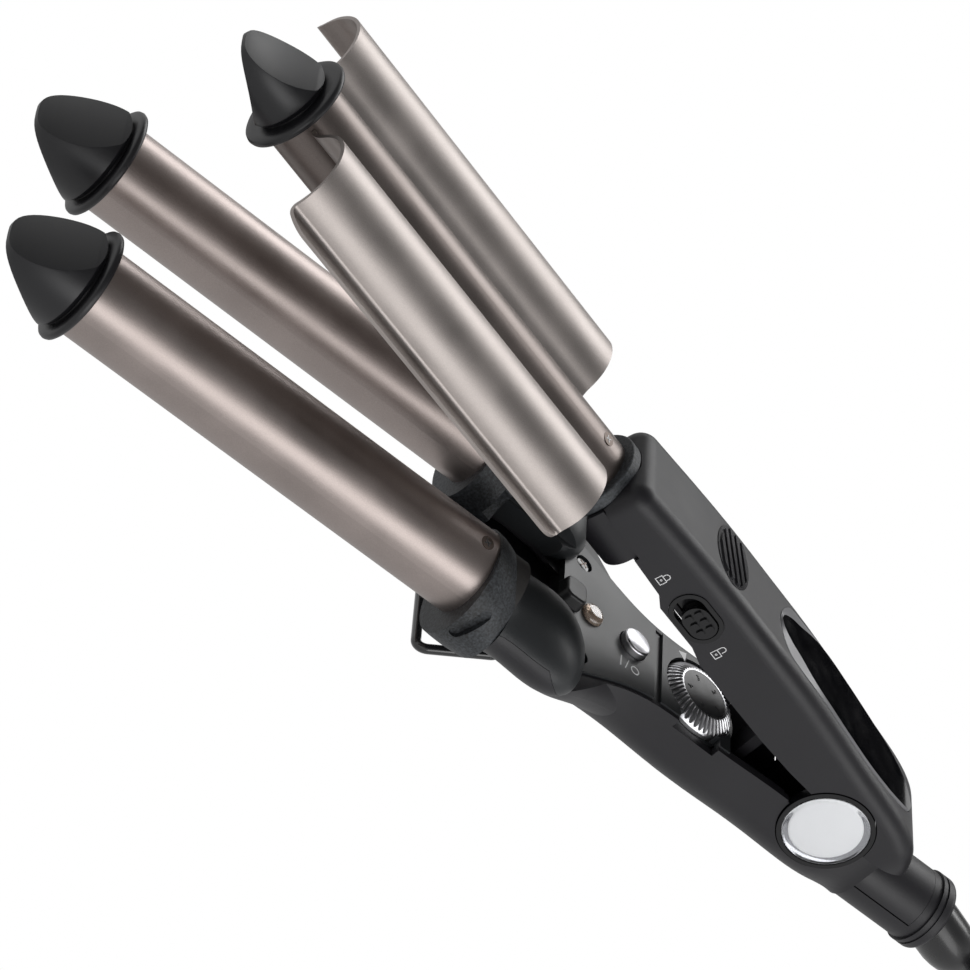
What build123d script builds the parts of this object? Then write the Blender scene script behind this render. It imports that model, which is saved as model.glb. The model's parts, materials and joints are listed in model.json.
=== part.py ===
from build123d import *
import os
from math import asin, cos, degrees, pi, radians, sin, tan

# A triple-barrel hair waver. Millimetres, X towards the tips along the lower arm, Y along the hinge
# pin, Z up. It is drawn about the hinge axis, and each finished piece is then set in the part's own
# frame, whose origin is on the surface under the middle of its length. The part stands on its tail
# and its wire stand.
os.makedirs("parts", exist_ok=True)

# ---------------------------------------------------------------- driving dimensions
open_angle = 14.06            # opening of the upper arm at rest, degrees
floor_z = -21.25              # height of the surface that the waver stands on

handle_half = 14.0            # half width of both handle shells
wall = 2.6                    # wall of the lower casing
arm_wall = 2.2                # wall of the upper shell
rim_wall = 1.3                # wall of the casing's rim round the panel
seam = 0.1                    # gap at a seam between two shells
play = 0.3                    # gap between pieces that move past each other

panel_top = 0.9               # top of the control panel
panel_bottom = -1.2           # ledge that the panel lies on
rim_top = 0.4                 # top of the lower casing's rim
panel_rear = 33.0             # rear end of the panel
casing_front = 88.0           # front end of the lofted casing
underside = -18.3             # flat under the grip
groove_x = 57.0               # groove across the panel
groove_width = 2.4
groove_depth = 0.9

tail_z = -10.5                # height of the tail's axis
tail_r = 9.6                  # outer radius of the round tail
tail_bore = 7.8               # bore of the tail
tail_end = -42.0              # where the tail ends and its ring begins
tail_cover_front = -20.0      # front end of the tail's upper cover
ring_end = -47.0              # rear end of the tail ring
ring_r = 10.2
tail_seam = 0.4               # open seam along the tail, either side
tail_lap = 2.6                # how far the tail cover stops short of the tail ring

pin_r = 2.5                   # hinge pin
pin_play = 0.05               # running clearance on the pin
lug_r = 9.0                   # hinge lugs
lower_lug = (7.2, 11.6)       # lower arm's lugs, from and to, either side of the middle
upper_lug = (2.8, 6.9)        # upper arm's lugs
cap_r = 12.05                 # hinge caps
cap_face = 14.6               # crown of the hinge caps
hub_hole_r = 12.35            # opening in both arms' cheeks round the caps

barrel_y = 24.43              # lower barrels' axes, either side of the middle
barrel_z = 5.58
barrel_r = 11.0
barrel_wall = 1.2
barrel_start = 120.9
barrel_end = 234.8
centre_z = 4.8                # centre barrel's axis, in the upper arm
centre_r = 9.5
centre_start = 112.9
centre_end = 230.9
flange_t = 1.9                # thickness of the tips' flanges
flange_reach = 3.6            # how far a flange stands out from its barrel
cap_length = 19.4             # length of a tip in front of its flange
plug_in = 6.0                 # depth that mounts and tips go into a barrel

socket_front = 110.5          # front face of the barrel sockets
socket_bore = 4.85            # bores that the barrel mounts seat in
socket_bore_z = 4.5
socket_bore_rear = 98.0
socket_split = 5.6            # height of the seam on the sockets' outer sides
pocket_half = 13.4            # pocket for the upper arm's front, between the sockets
pocket_rear = 90.3
pocket_floor = -4.6
wall_edge_x = 84.0            # where the closed arm's side walls pass between the sockets
wall_edge_z = 4.5
saddle_t = 2.2                # floor under that pocket

arm_front = 110.5             # front face of the upper shell
housing_half = 13.0           # front moulding of the upper arm
housing_rear = 94.5
housing_bottom = -4.0
housing_corner = 8.0
guard_ring_r = 12.0           # ring at the centre barrel's root
guard_ring_start = 109.6
screw_stand = 0.05            # how far the barrel screws' heads stand out

wing_gap = 0.35               # closed wing to lower barrel
wing_t = 0.9                  # sheet of the wings
wing_start = 124.8
wing_end = 228.6
wing_edge_y = 41.0            # how far the flared edge reaches
wing_flare_z = 4.85           # height of its flat brim
wing_flare_r = 1.8            # bend between brim and arch
wing_corner = 6.0             # rounded corners of the flared edge
wing_arch_end = 148.0         # where the arch passes into the valley, degrees
wing_valley = (9.2, 8.1)      # inner edge, beside the centre barrel

dial_x = 42.9
dial_r = 11.0
dial_top_r = 6.9
dial_top = 2.2
dial_bottom = -2.0
dial_flutes = 44
button_x = 65.5
button_r = 4.0
button_top = 3.0
button_travel = 1.2
led_x = 78.9
led_r = 3.1
screw_x = 82.0                # panel screws
screw_y = 17.2
screw_r = 2.4
bumper_x = 87.0
bumper_size = 7.0
bumper_top = 4.0

lock_x = 72.4                 # centre of the lock's frame, on the near side of the upper arm
lock_z = 8.5
lock_length = 15.5
lock_height = 10.0
lock_rim = 1.1
knob_length = 9.7
knob_height = 6.9
lock_travel = 3.0
bolt_z = 6.2                  # underside of the bolt plate
bolt_t = 1.8
catch_gap = 0.5               # bolt to catch nose when closed

grip_x = 74.0                 # oval thumb grip
grip_length = 13.4
grip_width = 20.0
badge_lift = 0.3              # height of the badge over the roof
badge_depth = 1.0             # its depth into the roof

stand_pivot_x = 99.5
stand_pivot_z = -8.4
stand_corner_x = 114.6
wire_r = 1.25
stand_half = 24.4             # half width of the wire stand

sleeve_tilt = 17.0            # tilt of the cord's strain relief, degrees
sleeve_x = -45.4              # centre of its ball
ball_r = 7.2
sleeve_tip_r = 4.3
sleeve_length = 21.0
cord_r = 3.3
cord_length = 2700.0
coil_x, coil_y = -142.0, -18.0
coil_mid_r = 38.0             # middle of the coil's turns
coil_width = 27.0             # the coil's turns side by side
coil_height = 18.5            # and on top of each other
tie_t = 1.2                   # strap round the coil
tie_width = 12.0

# ---------------------------------------------------------------- derived sizes
closed = radians(open_angle)
tilt = radians(sleeve_tilt)
wing_r_in = barrel_r + wing_gap
front_x = barrel_end + flange_t + cap_length
rear_x = sleeve_x - sleeve_length * cos(tilt) - sleeve_tip_r * sin(tilt)
to_frame = Pos(-(front_x + rear_x) / 2, 0, -floor_z)
LOWER = Plane.XY
UPPER = Plane(origin=(0, 0, 0), x_dir=(cos(closed), 0, sin(closed)), z_dir=(-sin(closed), 0, cos(closed)))


def across(arm, x):
    """Section plane square to an arm at x, with the local axes Y and Z."""
    return Plane(origin=arm.from_local_coords((x, 0, 0)), x_dir=arm.y_dir, z_dir=arm.x_dir)


def side(arm, y=0.0):
    """Plane of an arm's side view at y, with the local axes X and Z; it faces -Y."""
    return Plane(origin=arm.from_local_coords((0, y, 0)), x_dir=arm.x_dir, z_dir=-arm.y_dir)


def finish(part, name):
    """Set a finished piece in the part's frame, label it and write it."""
    placed = to_frame * part
    placed.label = name
    export_step(placed, "parts/" + name + ".step")


def block(arm, low, high):
    """A box between two corners in an arm's frame."""
    size = [b - a for a, b in zip(low, high)]
    middle = tuple((a + b) / 2 for a, b in zip(low, high))
    with BuildPart(arm) as made:
        with Locations(middle):
            Box(*size)
    return made.part


def rod(arm, y, z, radius, start, end):
    """A cylinder along an arm."""
    with BuildPart() as made:
        with BuildSketch(across(arm, start)):
            with Locations((y, z)):
                Circle(radius)
        extrude(amount=end - start)
    return made.part


def pin(arm, x, z, radius, low, high):
    """A cylinder along Y between two places."""
    with BuildPart() as made:
        with BuildSketch(side(arm, high)):
            with Locations((x, z)):
                Circle(radius)
        extrude(amount=high - low)
    return made.part


# ---------------------------------------------------------------- lower casing
# Stations along the arm: place, half width, depth below the axis, radius of the bottom corners
casing_stations = (
    (-20.0, 10.3, 20.2, 9.7),
    (-8.0, 13.4, 18.9, 9.0),
    (6.0, handle_half, 18.6, 9.0),
    (30.0, handle_half, 18.6, 9.0),
    (44.0, handle_half, 18.4, 9.0),
    (56.0, handle_half + 0.2, 17.6, 9.0),
    (68.0, 17.5, 15.1, 8.5),
    (77.0, 22.0, 12.3, 8.0),
    (casing_front, 30.0, 8.9, 7.5),
)
# Stations of a socket: place, half width, half height, y, z
socket_stations = (
    (84.0, 6.0, 3.0, 25.5, 1.5),
    (87.0, 11.0, 6.2, 25.3, 1.9),
    (91.0, 13.4, 7.8, 25.1, 2.4),
    (97.0, 14.5, 8.6, 24.9, 2.9),
    (socket_front, 14.6, 8.6, 24.9, 2.9),
)
# Stations of the skirt that carries a socket's underside back into the casing's flank
skirt_stations = (
    (60.0, 5.0, 6.0, 9.0, -8.0),
    (70.0, 8.0, 7.0, 12.0, -5.5),
    (80.0, 11.0, 7.6, 17.5, -2.0),
    (90.0, 13.5, 8.0, 23.0, 1.2),
    (99.0, 13.9, 8.1, 24.8, 2.9),
)


def casing_form(inset, top):
    """The lower casing as one solid, drawn in by inset; its open top is at top."""
    with BuildPart() as form:
        for x, half, depth, corner in casing_stations:
            with BuildSketch(across(LOWER, x)) as section:
                with Locations((0, (top - depth + inset) / 2)):
                    Rectangle(2 * (half - inset), top + depth - inset)
                fillet(section.vertices().group_by(Axis.Y)[0], corner - inset)
        loft()
    return form.part


def oval_pair(stations):
    """Solids either side of the middle, lofted through ovals."""
    with BuildPart() as form:
        for x, half, height, y, z in stations:
            with BuildSketch(across(LOWER, x)):
                with Locations((y, z)):
                    Ellipse(half, height)
        loft()
        mirror(about=Plane.XZ)
    return form.part


def pocket_form():
    """The space between the sockets that the closed upper arm's front drops into."""
    length = socket_front - pocket_rear + 20
    with BuildPart() as form:
        with BuildSketch(Plane.XY.offset(pocket_floor)):
            with Locations((pocket_rear + length / 2, 0)):
                RectangleRounded(length, 2 * pocket_half, 6)
        extrude(amount=40)
        # wider above the side walls' lower edge
        reach = handle_half + play
        add(block(LOWER, (wall_edge_x, -reach, wall_edge_z), (socket_front + 20, reach, 40)))
    return form.part


def cover_zone(gap):
    """What belongs to the upper moulding of the sockets: all above the seam, which rises at their sides."""
    with BuildPart() as form:
        with BuildSketch(side(LOWER, 50)):
            with BuildLine():
                Polyline((80, rim_top + gap), (casing_front, rim_top + gap), (95, socket_split + gap),
                         (socket_front + 1, socket_split + gap), (socket_front + 1, 30), (80, 30), close=True)
            make_face()
        extrude(amount=100)
        inner = barrel_y - gap
        add(block(LOWER, (84, -inner, panel_bottom), (socket_front + 1, inner, 30)))
    return form.part


def lug_pair(low, high, reach):
    """Hinge lugs either side of the middle, each with a web that runs down or up by reach."""
    with BuildPart() as form:
        with BuildSketch(side(LOWER, high)):
            Circle(lug_r)
            with Locations((0, reach / 2)):
                Rectangle(2 * lug_r, abs(reach))
            Circle(pin_r + pin_play, mode=Mode.SUBTRACT)
        extrude(amount=high - low)
        mirror(about=Plane.XZ)
    return form.part


outside = casing_form(0, rim_top)
sockets = oval_pair(socket_stations)
skirt = oval_pair(skirt_stations) & block(LOWER, (50, -45, -30), (98.5, 45, rim_top))
pocket = pocket_form()
hub_hole = pin(LOWER, 0, 0, hub_hole_r, -15, 15)
nose_z = bolt_z + bolt_t + catch_gap          # underside of the catch's nose
board_z = -8.0                                # underside of the circuit board
board_t = 1.6
post_places = [(x, y) for x in (39.0, 71.0) for y in (-6.5, 6.5)]
screw_places = [(screw_x, y) for y in (-screw_y, screw_y)]

with BuildPart() as lower_shell:
    add(outside)
    add(rod(LOWER, 0, tail_z, tail_r, tail_end, -10))
    add(skirt)
    add(sockets)
    add(block(LOWER, (80, -24, pocket_floor - saddle_t), (socket_front, 24, pocket_floor)))
    # hollow for the electrics, rebate for the panel, and the sockets' upper moulding taken away
    add(casing_form(wall, rim_top) & block(LOWER, (14, -40, -40), (84, 40, 10)), mode=Mode.SUBTRACT)
    rebate = block(LOWER, (panel_rear - seam, -40, panel_bottom), (casing_front, 40, 10))
    add(casing_form(rim_wall, rim_top) & rebate, mode=Mode.SUBTRACT)
    add(cover_zone(0), mode=Mode.SUBTRACT)
    add(pocket, mode=Mode.SUBTRACT)
    # room for the ring at the centre barrel's root
    ring_room = rod(LOWER, 0, centre_z, guard_ring_r + play, guard_ring_start - play, socket_front + 1)
    add(ring_room, mode=Mode.SUBTRACT)
    # flat under the grip
    add(block(LOWER, (-5, -20, -30), (45, 20, underside)), mode=Mode.SUBTRACT)
    # room for the hinge between the cheeks, and for the nose of the upper arm behind it
    add(block(LOWER, (-hub_hole_r, -lower_lug[1], -12.6), (14.5, lower_lug[1], 10)), mode=Mode.SUBTRACT)
    add(block(LOWER, (-45, -15, 0), (13, 15, 10)), mode=Mode.SUBTRACT)
    add(hub_hole, mode=Mode.SUBTRACT)
    add(lug_pair(*lower_lug, -14))
    # post and nose that the lock's bolt catches
    with BuildSketch(side(LOWER, 3.2)):
        with BuildLine():
            Polyline((24, -17), (24, nose_z), (21, nose_z), (21, nose_z + 0.7), (22.2, nose_z + 2),
                     (27, nose_z + 2), (27, -17), close=True)
        make_face()
    extrude(amount=6.4)
    # posts of the circuit board and bosses of the panel's screws
    for x, y in post_places:
        with BuildSketch(Plane.XY.offset(board_z)):
            with Locations((x, y)):
                Circle(2.0)
        extrude(amount=-7)
    for x, y in screw_places:
        with BuildSketch(Plane.XY.offset(panel_bottom)):
            with Locations((x, y)):
                Circle(3.2)
        extrude(amount=-8.5)
        with BuildSketch(Plane.XY.offset(panel_bottom)):
            with Locations((x, y)):
                Circle(1.25)
        extrude(amount=-5, mode=Mode.SUBTRACT)
    # notch in the near rim beside the dial
    add(block(LOWER, (dial_x - 6.5, 10, dial_bottom), (dial_x + 6.5, 16, 10)), mode=Mode.SUBTRACT)
    # tail: bore, and the seat of the upper cover
    add(rod(LOWER, 0, tail_z, tail_bore, tail_end - 1, -24), mode=Mode.SUBTRACT)
    tail_room = block(LOWER, (tail_end + tail_lap, -12, tail_z - tail_seam), (tail_cover_front, 12, 2))
    add(tail_room, mode=Mode.SUBTRACT)
    # bores of the barrel mounts
    for y in (-barrel_y, barrel_y):
        add(rod(LOWER, y, socket_bore_z, socket_bore, socket_bore_rear, socket_front + 1), mode=Mode.SUBTRACT)
    # ears that the wire stand turns in
    for y in (-stand_half, stand_half):
        inner = y - 3.8 if y > 0 else y + 1.5
        with BuildSketch(side(LOWER, inner + 2.3)):
            with Locations((stand_pivot_x, stand_pivot_z)):
                Circle(2.6)
                with Locations((0, 1.6)):
                    Rectangle(5.2, 3.2)
                Circle(wire_r + pin_play, mode=Mode.SUBTRACT)
        extrude(amount=2.3)
finish(lower_shell.part, "lower_shell")

with BuildPart() as tail_cover:
    with BuildSketch(across(LOWER, tail_end + tail_lap + seam)):
        with Locations((0, tail_z)):
            Circle(tail_r)
            Circle(tail_bore, mode=Mode.SUBTRACT)
    extrude(amount=tail_cover_front - tail_end - tail_lap - 2 * seam)
    add(block(LOWER, (-60, -12, tail_z - 20), (0, 12, tail_z)), mode=Mode.SUBTRACT)
finish(tail_cover.part, "tail_cover")

with BuildPart() as top_cover:
    slab = block(LOWER, (panel_rear, -40, panel_bottom), (casing_front, 40, panel_top))
    add(casing_form(rim_wall + seam, panel_top) & slab)
    add(sockets & cover_zone(seam))
    add(pocket, mode=Mode.SUBTRACT)
    # cup of the dial's well
    with BuildSketch(Plane.XY.offset(panel_bottom)):
        with Locations((dial_x, 0)):
            Circle(dial_r + play + 1.2)
            Rectangle(2 * dial_r + 6, 2 * (handle_half - wall - seam), mode=Mode.INTERSECT)
    extrude(amount=-2.4)
    with BuildSketch(Plane.XY.offset(panel_top + 1)):
        with Locations((dial_x, 0)):
            Circle(dial_r + play)
    extrude(amount=dial_bottom - play - panel_top - 1, mode=Mode.SUBTRACT)
    # openings of the shaft, the button, the lamp and the screws
    for x, y, radius in ((dial_x, 0, 3.2), (button_x, 0, button_r + play), (led_x, 0, led_r + seam / 2),
                         *((x, y, 1.4) for x, y in screw_places)):
        with BuildSketch(Plane.XY.offset(panel_top + 1)):
            with Locations((x, y)):
                Circle(radius)
        extrude(amount=-8, mode=Mode.SUBTRACT)
    for x, y in screw_places:
        with BuildSketch(Plane.XY.offset(panel_top + 1)):
            with Locations((x, y)):
                Circle(screw_r + seam)
        extrude(amount=-2.1, mode=Mode.SUBTRACT)
    # groove across the panel
    add(block(LOWER, (groove_x - groove_width / 2, -18, panel_top - groove_depth),
              (groove_x + groove_width / 2, 18, panel_top + 1)), mode=Mode.SUBTRACT)
    # bores of the barrel mounts
    for y in (-barrel_y, barrel_y):
        add(rod(LOWER, y, socket_bore_z, socket_bore, socket_bore_rear, socket_front + 1), mode=Mode.SUBTRACT)
    add(block(LOWER, (dial_x - 6.5, 10, dial_bottom), (dial_x + 6.5, 16, 10)), mode=Mode.SUBTRACT)
finish(top_cover.part, "top_cover")

# ---------------------------------------------------------------- barrels of the lower arm
guard_hub_r = barrel_r - barrel_wall - seam / 2      # mounts fill the barrels' bore


def guard_form(sign):
    """Heat guard: from the socket's oval to a round collar, with a grip slot in its outer side."""
    with BuildPart() as form:
        with BuildSketch(across(LOWER, socket_front)):
            with Locations((sign * 24.9, 0.8)):
                Ellipse(14.6, 11.6)
        with BuildSketch(across(LOWER, (socket_front + barrel_start) / 2)):
            with Locations((sign * 25.3, 2.2)):
                Ellipse(14.5, 13.6)
        with BuildSketch(across(LOWER, barrel_start)):
            with Locations((sign * 25.4, 3.0)):
                Circle(14.25)
        loft()
        add(rod(LOWER, sign * barrel_y, barrel_z, guard_hub_r + seam / 2, 100, 130), mode=Mode.SUBTRACT)
        # room for the centre barrel's ring when the arms are closed
        add(rod(LOWER, 0, centre_z, guard_ring_r + play, 100, centre_start + play), mode=Mode.SUBTRACT)
        with BuildSketch(side(LOWER, 45 if sign > 0 else -38)):
            with Locations((117.6, 3.5)):
                SlotOverall(11, 2.8, rotation=105)
        extrude(amount=7, mode=Mode.SUBTRACT)
    return form.part


def mount_form(arm, y, z, spigot_z, spigot_r, rear, shoulder, start, radius):
    """Heat-resistant mount: a spigot in the arm and a hub that fills the barrel's root."""
    with BuildPart() as form:
        add(rod(arm, y, spigot_z, spigot_r, rear, shoulder))
        add(rod(arm, y, z, radius, shoulder, start + plug_in))
    return form.part


def barrel_form(arm, y, z, radius, start, end):
    """A barrel: a plain tube; its screw is taken out of it afterwards."""
    with BuildPart() as form:
        with BuildSketch(across(arm, start)):
            with Locations((y, z)):
                Circle(radius)
                Circle(radius - barrel_wall, mode=Mode.SUBTRACT)
        extrude(amount=end - start)
    return form.part


def heater_form(arm, y, z, radius, start, end):
    """Ceramic heater bar with rounded edges close to the barrel's wall."""
    with BuildPart() as form:
        with BuildSketch(across(arm, start + plug_in + 4)):
            with Locations((y, z)):
                Circle(radius - barrel_wall - seam)
                Rectangle(2 * radius, 6, mode=Mode.INTERSECT)
        extrude(amount=end - start - 2 * plug_in - 8)
    return form.part


def tip_form(arm, y, z, radius, end, sections):
    """Cool tip: a plug in the barrel, a flange, and a cap that narrows to a ridge along Y."""
    with BuildPart() as form:
        add(rod(arm, y, z, radius - barrel_wall - seam / 2, end - plug_in, end))
        with BuildSketch(across(arm, end)):
            with Locations((y, z)):
                Circle(radius + flange_reach)
        extrude(amount=flange_t)
        fillet(form.edges().filter_by(GeomType.CIRCLE).group_by(SortBy.RADIUS)[-1], flange_t * 0.4)
        for x, half, height in sections:
            with BuildSketch(across(arm, end + flange_t + x)):
                with Locations((y, z)):
                    Ellipse(half, height)
        loft()
    return form.part


def root_screw(arm, y, z, radius, x, turn):
    """Screw through a barrel's root, square to its wall, turned from the Y axis by turn degrees."""
    out = arm.y_dir * cos(radians(turn)) + arm.z_dir * sin(radians(turn))
    foot = Plane(origin=arm.from_local_coords((x, y, z)) + out * (radius - 3), x_dir=arm.x_dir, z_dir=out)
    with BuildPart() as form:
        with BuildSketch(foot):
            Circle(screw_shank_r)
        extrude(amount=3)
        with BuildSketch(foot.offset(3 + screw_stand - screw_head_t)):
            Circle(screw_head_r)
        extrude(amount=screw_head_t)
    return form.part


screw_shank_r = 1.1
screw_head_r = 1.75
screw_head_t = 0.7
lower_cap = ((0, 13.0, 10.4), (6.3, 12.6, 8.6), (13.3, 11.2, 5.6), (17.8, 8.5, 3.2), (cap_length, 5.0, 1.6))
barrel_screw_x = 124.5
lower_screws = []
for name, sign, turn in (("near", 1, 78), ("far", -1, 102)):
    y = sign * barrel_y
    screw = root_screw(LOWER, y, barrel_z, barrel_r, barrel_screw_x, turn)
    lower_screws.append(screw)
    guard = guard_form(sign)
    mount = mount_form(LOWER, y, barrel_z, socket_bore_z, socket_bore - seam / 2, socket_bore_rear + seam,
                       socket_front, barrel_start, guard_hub_r)
    barrel = barrel_form(LOWER, y, barrel_z, barrel_r, barrel_start, barrel_end)
    heater = heater_form(LOWER, y, barrel_z, barrel_r, barrel_start, barrel_end)
    tip = tip_form(LOWER, y, barrel_z, barrel_r, barrel_end, lower_cap)
    finish(guard, "guard_" + name)
    finish(mount - screw, "mount_" + name)
    finish(barrel - screw, "barrel_" + name)
    finish(heater, "heater_" + name)
    finish(tip, "tip_" + name)

with BuildPart() as barrel_screws:
    for screw in lower_screws:
        add(screw)
finish(barrel_screws.part, "barrel_screws")

with BuildPart() as guard_bridge:
    # three shallow steps between the collars
    bridge_bottom = pocket_floor - saddle_t - 2.2
    for step, (start, end) in enumerate(((socket_front, 114.5), (114.5, 118.5), (118.5, 124.0))):
        add(block(LOWER, (start, -15, bridge_bottom), (end, 15, pocket_floor - 1.6 - 0.4 * step)))
    for sign in (-1, 1):
        add(guard_form(sign), mode=Mode.SUBTRACT)
        add(rod(LOWER, sign * barrel_y, barrel_z, barrel_r + play, 100, 130), mode=Mode.SUBTRACT)
    add(rod(LOWER, 0, centre_z, guard_ring_r + play, 100, centre_start + play), mode=Mode.SUBTRACT)
finish(guard_bridge.part, "guard_bridge")

# ---------------------------------------------------------------- controls
with BuildPart() as panel_screws:
    for x, y in screw_places:
        with BuildSketch(Plane.XY.offset(panel_top - 1.1)):
            with Locations((x, y)):
                Circle(screw_r)
        extrude(amount=0.8)
        with BuildSketch(Plane.XY.offset(panel_top - 1.1)):
            with Locations((x, y)):
                Circle(1.2)
        extrude(amount=-5)
finish(panel_screws.part, "panel_screws")

with BuildPart() as rubber_bumper:
    for z, inset in ((panel_top, 0), (bumper_top, 0.8)):
        with BuildSketch(Plane.XY.offset(z)):
            with Locations((bumper_x - 0.8, -1)):
                RectangleRounded(bumper_size - inset, bumper_size + 1 - inset, 2)
    loft()
    fillet(rubber_bumper.faces().sort_by(Axis.Z)[-1].edges(), 0.8)
finish(rubber_bumper.part, "rubber_bumper")

with BuildPart() as led_lens:
    with BuildSketch(Plane.XY.offset(panel_bottom)):
        with Locations((led_x, 0)):
            Circle(led_r)
    extrude(amount=panel_top + 1.8 - panel_bottom)
    fillet(led_lens.edges().group_by(Axis.Z)[-1], 1.6)
finish(led_lens.part, "led_lens")

with BuildPart() as power_button:
    with BuildSketch(Plane.XY.offset(panel_bottom - 0.9)):
        with Locations((button_x, 0)):
            Circle(button_r + 1)
    extrude(amount=0.8)
    with BuildSketch(Plane.XY.offset(panel_bottom - 0.2)):
        with Locations((button_x, 0)):
            Circle(button_r)
    extrude(amount=button_top - panel_bottom + 0.2)
    fillet(power_button.edges().group_by(Axis.Z)[-1], 0.6)
finish(power_button.part, "power_button")

with BuildPart() as flute:
    # one flute: it runs down the dial's slope with a slight twist, and over its rim
    with BuildSketch(Plane(origin=(dial_top_r + 0.5, -0.3, dial_top + 0.62), z_dir=(3.5, 0.9, -2.6))):
        Circle(0.62)
    extrude(amount=9)

with BuildPart() as dial_ring:
    with BuildSketch(Plane.XZ):
        with BuildLine():
            shoulder_arc = (dial_r - 1.15, dial_top - 1.15)
            ThreePointArc((dial_r, dial_bottom + 1.0), shoulder_arc, (dial_top_r + 0.8, dial_top))
            Polyline((dial_top_r + 0.8, dial_top), (dial_top_r, dial_top), (dial_top_r, dial_top - 1.2),
                     (3, dial_top - 1.2), (3, dial_bottom), (dial_r, dial_bottom),
                     (dial_r, dial_bottom + 1.0))
        make_face()
    revolve(axis=Axis.Z)
    for turn in range(dial_flutes):
        add(Rot(0, 0, turn * 360 / dial_flutes) * flute.part, mode=Mode.SUBTRACT)
finish(Pos(dial_x, 0, 0) * dial_ring.part, "dial_ring")

with BuildPart() as dial_face:
    with BuildSketch(Plane.XY.offset(dial_top - 1.2)):
        with Locations((dial_x, 0)):
            Circle(dial_top_r - seam / 2)
    extrude(amount=1.1)
finish(dial_face.part, "dial_face")

pot_top = dial_bottom - play - 1.5
with BuildPart() as dial_shaft:
    with BuildSketch(Plane.XY.offset(board_z + board_t + 0.4)):
        with Locations((dial_x, 0)):
            Circle(2.9)
    extrude(amount=dial_top - 1.2 - board_z - board_t - 0.4)
finish(dial_shaft.part, "dial_shaft")

with BuildPart() as potentiometer:
    with BuildSketch(Plane.XY.offset(board_z + board_t)):
        with Locations((dial_x, 0)):
            Circle(7.0)
            Circle(2.9 + pin_play, mode=Mode.SUBTRACT)
    extrude(amount=pot_top - board_z - board_t)
finish(potentiometer.part, "potentiometer")

with BuildPart() as switch_body:
    with BuildSketch(Plane.XY.offset(board_z + board_t)):
        with Locations((button_x, 0)):
            RectangleRounded(9, 9, 1)
    extrude(amount=panel_bottom - 0.9 - button_travel - 0.2 - board_z - board_t)
finish(switch_body.part, "switch_body")

with BuildPart() as circuit_board:
    with BuildSketch(Plane.XY.offset(board_z)):
        with Locations((55, 0)):
            RectangleRounded(38, 18, 1.5)
    extrude(amount=board_t)
finish(circuit_board.part, "circuit_board")

# ---------------------------------------------------------------- hinge
with BuildPart() as hinge_pin:
    add(pin(LOWER, 0, 0, pin_r, -lower_lug[1], lower_lug[1]))
finish(hinge_pin.part, "hinge_pin")

with BuildPart() as return_spring:
    wire = 0.65
    turns_low, turns_high = -1.6, 1.6
    with BuildLine() as coil_path:
        Helix(pitch=1.6, height=turns_high - turns_low, radius=3.7, center=(0, turns_low, 0),
              direction=(0, 1, 0))
    with BuildSketch(Plane(origin=coil_path.line @ 0, z_dir=coil_path.line % 0)):
        Circle(wire)
    sweep(path=coil_path.line, is_frenet=True)
finish(return_spring.part, "return_spring")

ring_wall = cap_r - 1.1
for name, sign in (("near", 1), ("far", -1)):
    seat = lower_lug[1]
    with BuildPart() as hub_ring:
        with BuildSketch(side(LOWER, sign * seat)):
            Circle(cap_r)
        extrude(amount=-sign * 2.6)
        with BuildSketch(side(LOWER, sign * (seat + 0.5))):
            Circle(ring_wall)
        extrude(amount=-sign * 3, mode=Mode.SUBTRACT)
    finish(hub_ring.part, "hub_ring_" + name)
    with BuildPart() as hub_disc:
        with BuildSketch(side(LOWER, sign * (seat + 0.5))):
            Circle(ring_wall - seam)
        extrude(amount=-sign * 0.8)
    finish(hub_disc.part, "hub_disc_" + name)
    with BuildPart() as hub_lens:
        with BuildSketch(side(LOWER, sign * (seat + 1.3))):
            Circle(ring_wall - seam)
        extrude(amount=-sign * (cap_face - seat - 1.3))
        fillet(hub_lens.faces().sort_by(Axis.Y)[-1 if sign > 0 else 0].edges(), 1.0)
    finish(hub_lens.part, "hub_lens_" + name)

# ---------------------------------------------------------------- upper arm
# Roof of the arm in side view, from its front to the nose behind the hinge
roof_points = (
    (arm_front, 18.3), (99, 18.8), (80, 19.5), (69, 19.6), (58, 19.5), (34, 19.1), (20, 18.2), (9, 17.4),
    (0, 16.9), (-8, 16.3), (-12, 15.7), (-16, 14.7), (-20, 12.9), (-24, 9.7), (-27, 6.9), (-29, 4.4),
    (-31, 1.4),
)
# Lower edge of its side walls
edge_points = (
    (arm_front, 6.8), (housing_rear, 5.5), (83, 4.9), (79.5, 3.0), (65.5, 3.0), (60, 1.7), (33, 1.7),
    (20, 2.3), (11.5, 3.2), (0, 0),
)


def arm_form(drop, inset, corner, low_edge):
    """The upper arm as one solid: roof lowered by drop, sides drawn in by inset, top edges rounded."""
    with BuildPart() as form:
        with BuildSketch(side(UPPER, 20)):
            with BuildLine():
                roof = Spline([(x, z - drop) for x, z in roof_points])
                Polyline(roof @ 1, (roof_points[-1][0], -14), *reversed(low_edge),
                         (arm_front, roof_points[0][1] - drop))
            make_face()
        extrude(amount=40)
        with BuildSketch(level_low) as outline:
            half = handle_half - inset
            length = arm_front - inset + 15
            with Locations((length / 2 - 15, 0)):
                Rectangle(length, 2 * half)
            with Locations((-15, 0)):
                Ellipse(14.5 - inset, half)
            fillet(outline.vertices().group_by(Axis.X)[-1], 5 - inset)
        extrude(amount=60, mode=Mode.INTERSECT)
        top = form.faces().sort_by(Axis((0, 0, 0), UPPER.z_dir))[-1]
        fillet(top.edges(), corner)
    return form.part


level_low = UPPER.offset(-25)
arm_outside = arm_form(0, 0, 4.6, edge_points)
arm_inside = arm_form(arm_wall, arm_wall, 2.6, ((arm_front, -20), (0, -20)))


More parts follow.
